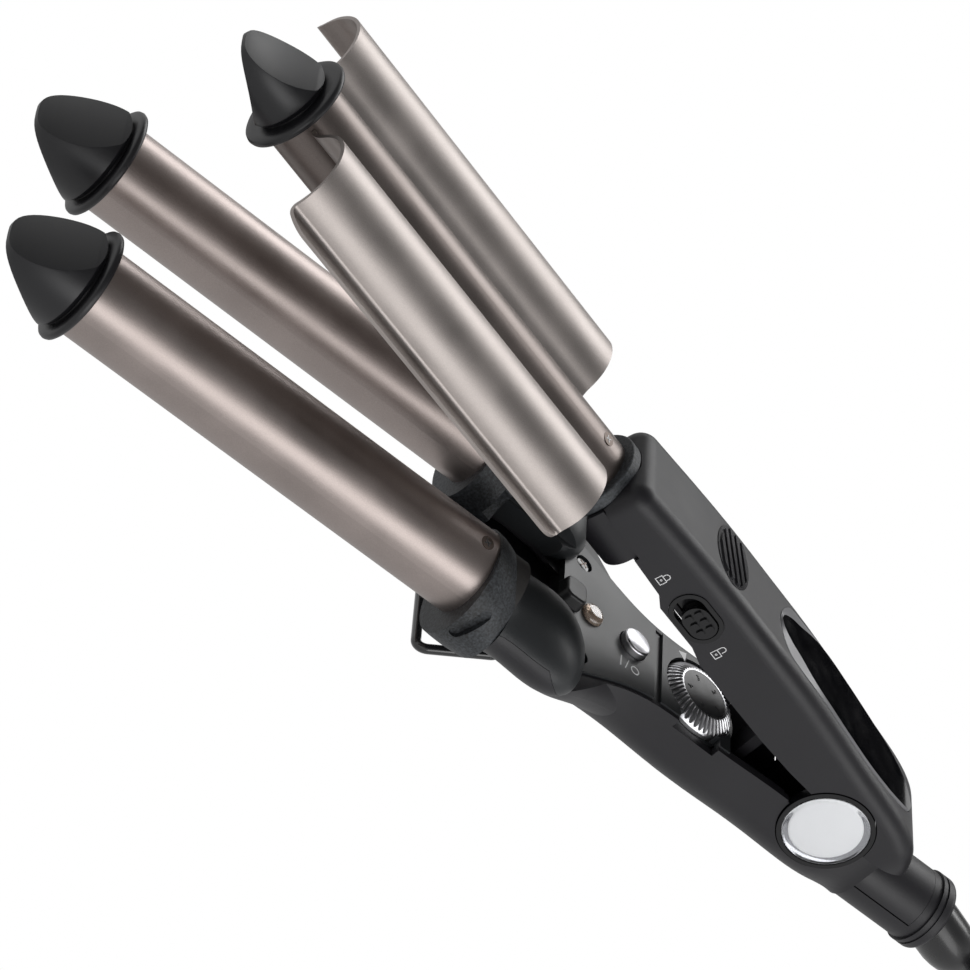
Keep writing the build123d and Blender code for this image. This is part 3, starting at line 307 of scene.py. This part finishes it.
# ---------------------------------------------------------------- cool tips
# Moulded caps of soft black nylon that stay cool enough to hold. Each is a blunt nose cut by two
# hollow flats, above and below, that leave a ridge across its end, on a round flange.
tip_nylon = grained("tip_nylon", (0.012, 0.012, 0.014), 0.40, 0.35, 0.010)


def revolved(profile, steps):
    """A closed form turned about X from a profile of (x, radius), both ends on the axis."""
    form = bmesh.new()
    line = [form.verts.new((x, 0, radius)) for x, radius in profile]
    edges = [form.edges.new(pair) for pair in zip(line, line[1:])]
    bmesh.ops.spin(form, geom=line + edges, cent=(0, 0, 0), axis=(1, 0, 0), angle=2 * pi, steps=steps,
                   use_merge=True, use_duplicate=False, space=Matrix.Identity(4))
    bmesh.ops.remove_doubles(form, verts=form.verts, dist=0.001)
    bmesh.ops.recalc_face_normals(form, faces=form.faces)
    return form


def carved(form, cutters):
    """A form with other closed forms cut out of it, as a new bmesh."""
    def as_object(drawn):
        mesh = bpy.data.meshes.new("carving")
        drawn.to_mesh(mesh)
        drawn.free()
        made = bpy.data.objects.new("carving", mesh)
        bpy.context.scene.collection.objects.link(made)
        return made
    body = as_object(form)
    tools = [as_object(cutter) for cutter in cutters]
    for tool in tools:
        cut = body.modifiers.new("cut", "BOOLEAN")
        cut.operation = "DIFFERENCE"
        cut.solver = "EXACT"
        cut.object = tool
    bpy.context.view_layer.update()
    result = bpy.data.meshes.new_from_object(body.evaluated_get(bpy.context.evaluated_depsgraph_get()))
    drawn = bmesh.new()
    drawn.from_mesh(result)
    for made in (body, *tools):
        bpy.data.objects.remove(made)
    return drawn


ridge_half = 0.35
flange_front = 1.9


def hollow_flat(reach, rise, half, side):
    """Cutter for one flat of a tip: its hollow floor runs from rise at the root down to the ridge."""
    cutter = bmesh.new()
    count = 24
    floor = []
    for i in range(count + 1):
        along = i / count
        sag = 0.9 * sin(pi * along)
        height = rise * (1 - along) + ridge_half - sag
        floor.append(cutter.verts.new((reach * 1.02 * along, -2 * half, side * height)))
    corners = ((reach * 1.3, ridge_half), (reach * 1.3, 3 * half), (0, 3 * half))
    top = [cutter.verts.new((x, -2 * half, side * z)) for x, z in corners]
    cutter.faces.new(floor + top)
    made = bmesh.ops.extrude_face_region(cutter, geom=cutter.faces[:])
    moved = [v for v in made["geom"] if isinstance(v, bmesh.types.BMVert)]
    bmesh.ops.translate(cutter, verts=moved, vec=(0, 4 * half, 0))
    bmesh.ops.recalc_face_normals(cutter, faces=cutter.faces)
    return cutter


def cool_tip(name, arm, place, half, flange_r, length):
    """One tip: its ridge lies along Y. place is the middle of its flange's front, in the arm's frame."""
    nose = [(0.6, 0)] + [(0.6, half * 0.9)]
    for i in range(1, 17):
        turn = pi / 2 * i / 16
        nose.append((0.9 + (length - 0.9) * sin(turn) ** 1.25, half * cos(turn) ** 0.62 if i < 16 else 0))
    form = revolved(nose, 96)
    flats = [hollow_flat(length, half * 0.93, half, side) for side in (1, -1)]
    form = carved(form, flats)
    creases = [e for e in form.edges if len(e.link_faces) == 2 and e.calc_face_angle(0) > radians(22)]
    bmesh.ops.bevel(form, geom=creases, offset=0.45, segments=3, profile=0.5, affect="EDGES", material=-1,
                    clamp_overlap=True)
    disc = revolved([(-flange_front, 0), (-flange_front, flange_r - 0.7), (-1.55, flange_r - 0.2),
                     (-0.95, flange_r), (-0.35, flange_r - 0.15), (0, flange_r - 0.6), (0.1, flange_r - 2.2),
                     (0.1, 0)], 96)
    scrap = bpy.data.meshes.new("scrap")
    disc.to_mesh(scrap)
    form.from_mesh(scrap)
    neck = revolved([(-0.5, 0), (-0.5, half * 0.86), (1.0, half * 0.86), (1.0, 0)], 96)
    neck.to_mesh(scrap)
    form.from_mesh(scrap)
    made = piece(name + "_cap", form, arm @ Matrix.Translation(place), tip_nylon,
                 "upper_arm" if arm is UPPER else "lower_arm", crease=40)
    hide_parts(name)


lower_front = 234.8 + flange_front
lower_half, lower_flange_r, lower_nose = 12.5, 14.3, 19.4
cool_tip("tip_near", LOWER, (lower_front, barrel_y, barrel_z), lower_half, lower_flange_r, lower_nose)
cool_tip("tip_far", LOWER, (lower_front, -barrel_y, barrel_z), lower_half, lower_flange_r, lower_nose)
centre_z, centre_r = 4.8, 9.5
centre_front = 230.9 + flange_front
centre_half, centre_flange_r, centre_nose = 9.9, 13.1, 18.6
cool_tip("centre_tip", UPPER, (centre_front, 0, centre_z), centre_half, centre_flange_r, centre_nose)

# ---------------------------------------------------------------- dial, button, lamp, stop and screws
# The heat dial is a chromed ring with slanting flutes round a black face. The power button is
# chromed too, with a frosted top. The ready lamp is a smoked dome, and the stop is a rubber block.
def plain(name, colour, roughness, metallic=0.0, coat=0.0, transmission=0.0, ior=1.5):
    """A smooth finish with slight smudges in its gloss."""
    material = bpy.data.materials.new(name)
    nodes, links = node_tree(material)
    shader = nodes["Principled BSDF"]
    shader.inputs["Base Color"].default_value = (*colour, 1)
    shader.inputs["Metallic"].default_value = metallic
    shader.inputs["Coat Weight"].default_value = coat
    shader.inputs["Coat Roughness"].default_value = 0.05
    shader.inputs["Transmission Weight"].default_value = transmission
    shader.inputs["IOR"].default_value = ior
    place = nodes.new("ShaderNodeTexCoord")
    smudge = nodes.new("ShaderNodeTexNoise")
    smudge.inputs["Scale"].default_value = 160.0
    smudge.inputs["Detail"].default_value = 3.0
    gloss = nodes.new("ShaderNodeMapRange")
    gloss.inputs["From Min"].default_value = 0.35
    gloss.inputs["From Max"].default_value = 0.7
    gloss.inputs["To Min"].default_value = roughness
    gloss.inputs["To Max"].default_value = roughness + 0.07
    links.new(place.outputs["Object"], smudge.inputs["Vector"])
    links.new(smudge.outputs["Fac"], gloss.inputs["Value"])
    links.new(gloss.outputs["Result"], shader.inputs["Roughness"])
    return material


chrome = plain("chrome", (0.66, 0.66, 0.68), 0.27, metallic=1.0)
gloss_black = plain("gloss_black", (0.004, 0.004, 0.005), 0.09)
button_frost = grained("button_frost", (0.88, 0.88, 0.92), 0.30, 0.18, 0.002, mottle=0.03, metallic=0.8)
dress(chrome, "dial_ring", "power_button")
dial_black = plain("dial_black", (0.030, 0.030, 0.032), 0.28)
dress(dial_black, "dial_face")
rubber = grained("stop_rubber", (0.014, 0.014, 0.015), 0.45, 0.4, 0.01)
dress(rubber, "rubber_bumper")
smoked_lamp = plain("smoked_lamp", (0.78, 0.62, 0.50), 0.06, transmission=0.75, ior=1.45, coat=1.0)
dress(smoked_lamp, "led_lens")

button_top = bmesh.new()
bmesh.ops.create_circle(button_top, cap_ends=True, radius=3.45, segments=64)
raised = bmesh.ops.extrude_face_region(button_top, geom=button_top.faces[:])
top_ring = [v for v in raised["geom"] if isinstance(v, bmesh.types.BMVert)]
bmesh.ops.translate(button_top, verts=top_ring, vec=(0, 0, 0.12))
bmesh.ops.recalc_face_normals(button_top, faces=button_top.faces)
rim = [e for e in button_top.edges if all(v.co.z > 0.1 for v in e.verts)]
bmesh.ops.bevel(button_top, geom=rim, offset=0.08, segments=2, profile=0.5, affect="EDGES", material=-1)
button_place = LOWER @ Matrix.Translation((65.5, 0, 2.97))
piece("button_top", button_top, button_place, button_frost, "button")

dial_place = Matrix.Translation((42.9, 0, 0))
figure_r, figure_z, first_figure, figure_step = 4.6, 2.16, -206, 72
for step in range(5):
    digit = bpy.data.curves.new("digit", "FONT")
    digit.body = str(step + 1)
    digit.size = 2.3
    digit.align_x = "CENTER"
    digit.align_y = "CENTER"
    digit.extrude = 0.06
    holder = bpy.data.objects.new("digit", digit)
    bpy.context.scene.collection.objects.link(holder)
    bpy.context.view_layer.update()
    shape = bpy.data.meshes.new_from_object(holder.evaluated_get(bpy.context.evaluated_depsgraph_get()))
    bpy.data.objects.remove(holder)
    drawn = bmesh.new()
    drawn.from_mesh(shape)
    bmesh.ops.remove_doubles(drawn, verts=drawn.verts, dist=0.0005)
    turn = radians(first_figure + figure_step * step)
    upright = Matrix.Translation((figure_r, 0, figure_z)) @ Matrix.Rotation(-pi / 2, 4, "Z")
    setting = dial_place @ Matrix.Rotation(turn, 4, "Z") @ upright
    piece("dial_figure_" + str(step + 1), drawn, LOWER @ setting, rubber, "dial")

screw_black = plain("screw_black", (0.012, 0.012, 0.013), 0.16, coat=0.6)


def cross_bars(width, reach, depth):
    """A thin cross laid on a screw's head in place of its recess, carrying painted shade on the barrels'
    screws and painted highlight on the panel's: two bars that cross on the axis, along Z.
    """
    bars = bmesh.new()
    for size in ((reach, width, depth), (width, reach, depth)):
        made = bmesh.ops.create_cube(bars, size=1.0)
        bmesh.ops.scale(bars, vec=size, verts=made["verts"])
    return bars


def screw_head(radius, height, dome):
    """A pan head, its seat at z = 0."""
    profile = [(0, 0), (0, radius), (height - dome, radius)]
    profile += [(height - dome + dome * sin(turn), radius * cos(turn)) for turn in (0.35, 0.75, 1.15)]
    profile += [(height, 0)]
    head = revolved(profile, 48)
    bmesh.ops.transform(head, matrix=Matrix.Rotation(-pi / 2, 4, "Y"), verts=head.verts)
    return head


panel_screw_x, panel_screw_y, panel_screw_seat = 82.0, 17.2, -0.2
head_r, head_height, head_dome, cross_height = 2.3, 0.9, 0.5, 0.87
for number, y in enumerate((panel_screw_y, -panel_screw_y)):
    turn = Matrix.Rotation(radians(20 + 30 * number), 4, "Z")
    place = LOWER @ Matrix.Translation((panel_screw_x, y, panel_screw_seat)) @ turn
    head = screw_head(head_r, head_height, head_dome)
    made = piece("panel_screw_" + str(number + 1), head, place, screw_black, "lower_arm")
    if number == 0:
        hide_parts("panel_screws")
    # the lighter metal cross on the black head is painted highlight, for light on the walls of its recess
    cross = cross_bars(0.42, 2.5, 0.1)
    piece("panel_screw_cross_" + str(number + 1), cross, place @ Matrix.Translation((0, 0, cross_height)),
          dark_screw, "lower_arm")


def recess_shade_cross(name, arm, x, y, z, radius, turn, body):
    """A dark cross laid on the head of a screw in a barrel's root: painted shade standing in for its recess.
    """
    tilt = radians(turn) - pi / 2
    on_head = Matrix.Rotation(tilt, 4, "X") @ Matrix.Translation((0, 0, radius + 0.06))
    place = arm @ Matrix.Translation((x, y, z)) @ on_head
    cross = cross_bars(0.34, 2.0, 0.06)
    piece(name, cross, place @ Matrix.Rotation(0.5, 4, "Z"), screw_black, body)


barrel_screw_x, centre_screw_x = 124.5, 119.6
recess_shade_cross("barrel_screw_cross_near", LOWER, barrel_screw_x, barrel_y, barrel_z, barrel_r, 78, "lower_arm")
recess_shade_cross("barrel_screw_cross_far", LOWER, barrel_screw_x, -barrel_y, barrel_z, barrel_r, 102, "lower_arm")
recess_shade_cross("centre_screw_cross", UPPER, centre_screw_x, 0, centre_z, centre_r, 81, "upper_arm")

# ---------------------------------------------------------------- hinge caps
# Each end of the hinge has a clear acrylic lens over a white disc in a bright dish, in a black ring.
# The lens lets the lamps through to the disc, which a solid of glass would keep in its own shade.
clear_acrylic = plain("clear_acrylic", (0.97, 0.98, 0.99), 0.03, transmission=1.0, ior=1.45)
nodes, links = node_tree(clear_acrylic)
through = nodes.new("ShaderNodeBsdfTransparent")
rays = nodes.new("ShaderNodeLightPath")
unseen = nodes.new("ShaderNodeMath")
unseen.operation = "MAXIMUM"
lens_mix = nodes.new("ShaderNodeMixShader")
links.new(rays.outputs["Is Shadow Ray"], unseen.inputs[0])
links.new(rays.outputs["Is Diffuse Ray"], unseen.inputs[1])
links.new(unseen.outputs[0], lens_mix.inputs[0])
links.new(nodes["Principled BSDF"].outputs[0], lens_mix.inputs[1])
links.new(through.outputs[0], lens_mix.inputs[2])
links.new(lens_mix.outputs[0], nodes["Material Output"].inputs["Surface"])
white_disc = grained("white_disc", (0.95, 0.955, 0.97), 0.35, 0.3, 0.002, mottle=0.02)
bright_dish = plain("bright_dish", (0.42, 0.42, 0.44), 0.12, metallic=1.0)
dress(gloss_black, "hub_ring_near", "hub_ring_far")
dress(clear_acrylic, "hub_lens_near", "hub_lens_far")
hub_reach = 12.1
for name, turn in (("near", pi / 2), ("far", -pi / 2)):
    out = LOWER @ Matrix.Rotation(turn, 4, "Z") @ Matrix.Translation((hub_reach, 0, 0))
    dish = revolved([(0, 0), (0, 10.8), (0.78, 10.8), (0.72, 10.4), (0.22, 9.3), (0.22, 0)], 96)
    piece("hub_dish_" + name, dish, out, bright_dish, "lower_arm")
    disc = revolved([(0.15, 0), (0.15, 9.2), (0.55, 9.2), (0.66, 9.0), (0.70, 8.6), (0.70, 0)], 96)
    made = piece("hub_white_" + name, disc, out, white_disc, "lower_arm")
    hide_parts("hub_disc_" + name)

# ---------------------------------------------------------------- upper arm
# The upper shell and the housing of the centre barrel, in the same grained nylon as the casing.
dress(charcoal, "upper_shell", "centre_housing", "upper_liner")
wing_coat = grained("wing_coat", (0.37, 0.335, 0.318), 0.43, 0.20, 0.008, mottle=0.12, metallic=1.0)
dress(wing_coat, "wing_near", "wing_far")
# the centre barrel has the same coat as the lower ones, drawn about half as bright: painted shade from the
# wings that flank it
centre_coat_painted_shade = grained("centre_coat_painted_shade", (0.20, 0.172, 0.160), 0.38, 0.20, 0.008, mottle=0.12, metallic=1.0)
dress(centre_coat_painted_shade, "centre_barrel")

# ---------------------------------------------------------------- thumb grip, badge and lock
# The ribbed oval is a harder, shinier moulding. The badge is gloss black; its bevel's grey is painted sheen.
# The lock is a knob with six bumps in a dark frame, with a printed padlock at each end of its travel.
grip_nylon = grained("grip_nylon", (0.022, 0.022, 0.025), 0.22, 0.3, 0.002)
dress(grip_nylon, "thumb_grip")
badge_painted_sheen = plain("badge_painted_sheen", (0.20, 0.20, 0.21), 0.30)
roof_points = [
    (58, 19.5), (34, 19.1), (20, 18.2), (9, 17.4), (0, 16.9), (-8, 16.3), (-12, 15.7), (-16, 14.7),
    (-20, 12.9),
]
badge_edge = [
    (52.6, 0), (51.8, 3.6), (49.5, 7.2), (45.5, 9.1), (32, 9.6), (16, 9.6), (2, 8.8), (-7, 6.8), (-12.5, 3.9),
    (-14.8, 0),
]
badge_facet = [
    (52.4, 0), (51.2, 2.4), (48.0, 4.4), (44.0, 5.6), (34, 8.6), (16, 9.2), (2, 8.4), (-7, 6.4), (-12.4, 3.6),
    (-14.6, 0),
]


def smooth_line(points, per_span):
    """Points of a smooth curve through points of the plane."""
    line = []
    ends = [points[0], *points, points[-1]]
    for before, start, end, after in zip(ends, points, points[1:], ends[3:]):
        for i in range(per_span):
            t = i / per_span
            line.append(tuple(
                0.5 * (2 * b + (c - a) * t + (2 * a - 5 * b + 4 * c - d) * t ** 2
                       + (3 * b - a - 3 * c + d) * t ** 3)
                for a, b, c, d in zip(before, start, end, after)))
    return [*line, points[-1]]


roof_line = smooth_line(roof_points, 12)


def roof_at(x):
    """Height of the arm's roof at x."""
    spans = zip(roof_line, roof_line[1:])
    (x_high, z_high), (x_low, z_low) = next(pair for pair in spans if pair[1][0] <= x)
    return z_low + (z_high - z_low) * (x - x_low) / (x_high - x_low)


# the badge's rim lies on the roof, and its bevel, wide at the front corners, rises to the black facet
rim_line, facet_line = smooth_line(badge_edge, 8), smooth_line(badge_facet, 8)
rim_line[0], facet_line[0] = badge_edge[0], badge_facet[0]
badge_rise = 0.55
bevel, plate = bmesh.new(), bmesh.new()
for side in (1, -1):
    feet = [bevel.verts.new((x, side * y, roof_at(x) - 0.5)) for x, y in rim_line]
    rim = [bevel.verts.new((x, side * y, roof_at(x) + 0.12)) for x, y in rim_line]
    shoulder = [bevel.verts.new((x, side * y, roof_at(x) + badge_rise)) for x, y in facet_line]
    for low, high in ((feet, rim), (rim, shoulder)):
        for i in range(len(low) - 1):
            bevel.faces.new((low[i], low[i + 1], high[i + 1], high[i]))
middle = [plate.verts.new((x, 0, roof_at(x) + badge_rise)) for x, y in facet_line]
for side in (1, -1):
    for share in (1.0, 0.5):
        edge = [plate.verts.new((x, side * y * share, roof_at(x) + badge_rise)) for x, y in facet_line]
        if share == 1.0:
            outer_edge = edge
    for low, high in ((outer_edge, edge), (edge, middle)):
        for i in range(len(low) - 1):
            plate.faces.new((low[i], low[i + 1], high[i + 1], high[i]))
for drawn in (bevel, plate):
    bmesh.ops.remove_doubles(drawn, verts=drawn.verts, dist=0.002)
    bmesh.ops.recalc_face_normals(drawn, faces=drawn.faces)
# the bevel's grey is painted sheen on the black trim
made = piece("badge_bevel", bevel, UPPER, badge_painted_sheen, "upper_arm", crease=30)
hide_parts("badge_trim")
made = piece("badge_plate", plate, UPPER, gloss_black, "upper_arm", crease=30)
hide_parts("badge_window")
lock_black = plain("lock_black", (0.006, 0.006, 0.007), 0.16)
dress(lock_black, "lock_frame", "lock_slider")

near_face = Matrix.Translation((0, 14.0, 0)) @ Matrix.Rotation(pi / 2, 4, "X")
SIDE = UPPER @ near_face @ Matrix.Scale(-1, 4, (0, 0, 1))


def padlock(name, x, z, lift, swing):
    """A padlock in outline, upright on the arm: its bow is lifted, and swung aside, when it is open."""
    drawn = bmesh.new()
    stroke(drawn, [(x - 1.1, z), (x + 1.1, z), (x + 1.1, z + 1.8), (x - 1.1, z + 1.8)], 0.2, closed=True)
    bow = [(x + 0.75 + swing, z + 1.8), *arc(x + swing, z + 2.55 + lift, 0.75, 0, 180, 10),
           (x - 0.75 + swing, z + 1.8 + lift)]
    stroke(drawn, bow, 0.2)
    stroke(drawn, arc(x, z + 0.9, 0.22, 0, 330, 11), 0.16, closed=True)
    raise_ink(drawn)
    bmesh.ops.reverse_faces(drawn, faces=drawn.faces)
    piece(name, drawn, SIDE, white_ink, "upper_arm")


padlock("closed_mark", 86.4, 6.75, 0.0, 0.0)
padlock("open_mark", 60.8, 5.8, 0.45, 0.35)

# ---------------------------------------------------------------- wire stand
# A bail of bent steel wire, dipped in gloss black. Its ends turn in ears on the lower shell, and it folds
# back under the casing.
stand_enamel = plain("stand_enamel", (0.010, 0.010, 0.011), 0.12, coat=0.7)
dress(stand_enamel, "stand")

# ---------------------------------------------------------------- swivel sleeve, cord and plug
# The strain relief turns in the tail on its ball. The lead is 2.7 m of round flex. What the view
# does not show is wound in a neat coil behind the tail, tied once, with the plug beside it.
sleeve_rubber = plain("sleeve_rubber", (0.012, 0.012, 0.013), 0.26, coat=0.2)
cord_r = 3.3
floor_z = -21.25
cord_z = floor_z + cord_r + 0.01
coil_x, coil_y = -142.0, -18.0
sleeve_x, sleeve_z = -45.4, -10.5
sleeve_tilt = radians(17.0)
sleeve_length = 21.0
outward = Vector((-cos(sleeve_tilt), 0, -sin(sleeve_tilt)))
sleeve_tip = Vector((sleeve_x, 0, sleeve_z)) + outward * sleeve_length
ball_r = 7.2
sleeve_line = [(-ball_r * cos(turn), ball_r * sin(turn)) for turn in [pi * i / 40 for i in range(21)]]
sleeve_line += [(4.0, ball_r), (8.0, ball_r), (11.0, 7.15), (13.5, 6.8), (15.5, 6.3), (17.3, 5.5),
                (19.0, 4.75), (20.4, 4.5), (sleeve_length, 4.3), (sleeve_length, 0)]
sleeve_turn = outward.to_track_quat("X", "Z").to_matrix().to_4x4()
sleeve_place = LOWER @ Matrix.Translation((sleeve_x, 0, sleeve_z)) @ sleeve_turn
sleeve = piece("cord_sleeve", revolved(sleeve_line, 96), sleeve_place, sleeve_rubber, "cord_swivel",
               crease=50)
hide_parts("cord_swivel_sleeve")
lead_points = [
    tuple(sleeve_tip), tuple(sleeve_tip + outward * 3.2), (-74.6, 0.1, cord_z), (-80.2, 0.9, cord_z),
    (-88.5, 4.2, cord_z), (-96.5, 9.0, cord_z), (-104.5, 14.2, cord_z),
]
tail_points = [
    (-150.0, 30, cord_z + 7), (-159.5, 30.9, cord_z + 4.5), (-169, 30.9, cord_z + 1.5), (-178, 30.1, cord_z),
]
cord_rubber = grained("cord_rubber", (0.016, 0.016, 0.017), 0.42, 0.5, 0.01)
# turns of the coil: turn count, radius, height. It starts outside at the floor, goes in, out, in and
# out again, a layer at a time, and its end comes down outside
coil_plan = [
    (0.0, 49.4, 0.0), (0.3, 45.6, 0.0), (2.9, 28.7, 0.0), (3.2, 29.6, 5.6), (5.7, 46.0, 5.6),
    (6.0, 45.4, 11.0), (8.6, 29.2, 11.2), (8.9, 30.0, 16.8), (10.5, 41.6, 16.8), (10.8, 47.6, 17.2),
    (10.96, 50.2, 14.5), (11.163, 50.6, 8.8),
]
coil_from = 40.7
per_turn = 16
coil_points = []
for step in range(1, int(coil_plan[-1][0] * per_turn)):
    turn = step / per_turn
    spans = zip(coil_plan, coil_plan[1:])
    start, end = next(pair for pair in spans if pair[0][0] <= turn <= pair[1][0])
    part = (turn - start[0]) / (end[0] - start[0])
    radius = start[1] + (end[1] - start[1]) * part
    rise = start[2] + (end[2] - start[2]) * part
    angle = radians(coil_from + 360 * turn)
    coil_points.append((coil_x + radius * cos(angle), coil_y + radius * sin(angle), cord_z + rise))

flex = bpy.data.curves.new("cord", "CURVE")
flex.dimensions = "3D"
flex.bevel_depth = cord_r * MM
flex.bevel_resolution = 6
flex.resolution_u = 4
line = flex.splines.new("NURBS")
route = [LOWER @ Vector(point) for point in (*lead_points, *coil_points, *tail_points)]
line.points.add(len(route) - 1)
for control, place in zip(line.points, route):
    control.co = (*place, 1.0)
line.order_u = 3
line.use_endpoint_u = True
flex.materials.append(cord_rubber)
cord = bpy.data.objects.new("cord", flex)
bpy.context.scene.collection.objects.link(cord)
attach(cord, "lower_arm")
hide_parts("power_cord", "plug_cord", "cord_coil")

# the strap lies close round the coil, its ends lapped on top
strap_weave = grained("strap_weave", (0.018, 0.018, 0.019), 0.8, 0.8, 0.06)
strap_half, strap_inner, strap_outer, strap_top, strap_t = 6.0, 24.6, 53.6, 24.2, 1.1


def strap_loop(grow):
    """Rounded outline of the strap in the coil's section, let out by grow."""
    low, high, left, right = 0.3 - grow * 0.2, strap_top + grow, strap_inner - grow, strap_outer + grow
    bend = 4.0 + grow
    outline = []
    for x, z, start in ((right - bend, high - bend, 0), (left + bend, high - bend, 90),
                        (left + bend, low + bend, 180), (right - bend, low + bend, 270)):
        outline += arc(x, z, bend, start, start + 90, 6)
    return outline


strap = bmesh.new()
rings = []
for across in (-strap_half, strap_half):
    for grow in (0.0, strap_t):
        rings.append([strap.verts.new((x, across, z)) for x, z in strap_loop(grow)])
inner_a, outer_a, inner_b, outer_b = rings
for i in range(len(inner_a)):
    k = (i + 1) % len(inner_a)
    for first, second in ((inner_a, outer_a), (outer_a, outer_b), (outer_b, inner_b), (inner_b, inner_a)):
        strap.faces.new((first[i], first[k], second[k], second[i]))
bmesh.ops.recalc_face_normals(strap, faces=strap.faces)
strap_turn = radians(60.0)
strap_place = LOWER @ Matrix.Translation((coil_x, coil_y, floor_z)) @ Matrix.Rotation(strap_turn, 4, "Z")
cord_strap = piece("cord_strap", strap, strap_place, strap_weave, "lower_arm")
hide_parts("cord_tie")
plug_pvc = grained("plug_pvc", (0.014, 0.014, 0.015), 0.3, 0.6, 0.006)
dress(plug_pvc, "plug_body")
blade_brass = plain("blade_brass", (0.62, 0.50, 0.28), 0.22, metallic=1.0)
dress(blade_brass, "plug_blades")

# ---------------------------------------------------------------- inside the handle
# Resin mounts and ceramic heaters in the barrels, and the board with its switch and potentiometer.
mount_resin = grained("mount_resin", (0.020, 0.018, 0.017), 0.6, 0.5, 0.02)
dress(mount_resin, "mount_near", "mount_far", "centre_mount")
heater_ceramic = grained("heater_ceramic", (0.62, 0.61, 0.58), 0.6, 0.4, 0.01)
dress(heater_ceramic, "heater_near", "heater_far", "centre_heater")
board_green = grained("board_green", (0.02, 0.10, 0.05), 0.4, 0.4, 0.004)
dress(board_green, "circuit_board")
component_black = grained("component_black", (0.02, 0.02, 0.02), 0.5, 0.4, 0.005)
dress(component_black, "switch_body", "potentiometer", "dial_shaft")
# the hinge pin and spring are steel drawn nearly black: painted shade for the gap between the arms
steel_painted_shade = plain("steel_painted_shade", (0.05, 0.05, 0.052), 0.42, metallic=1.0)
dress(steel_painted_shade, "hinge_pin", "return_spring")
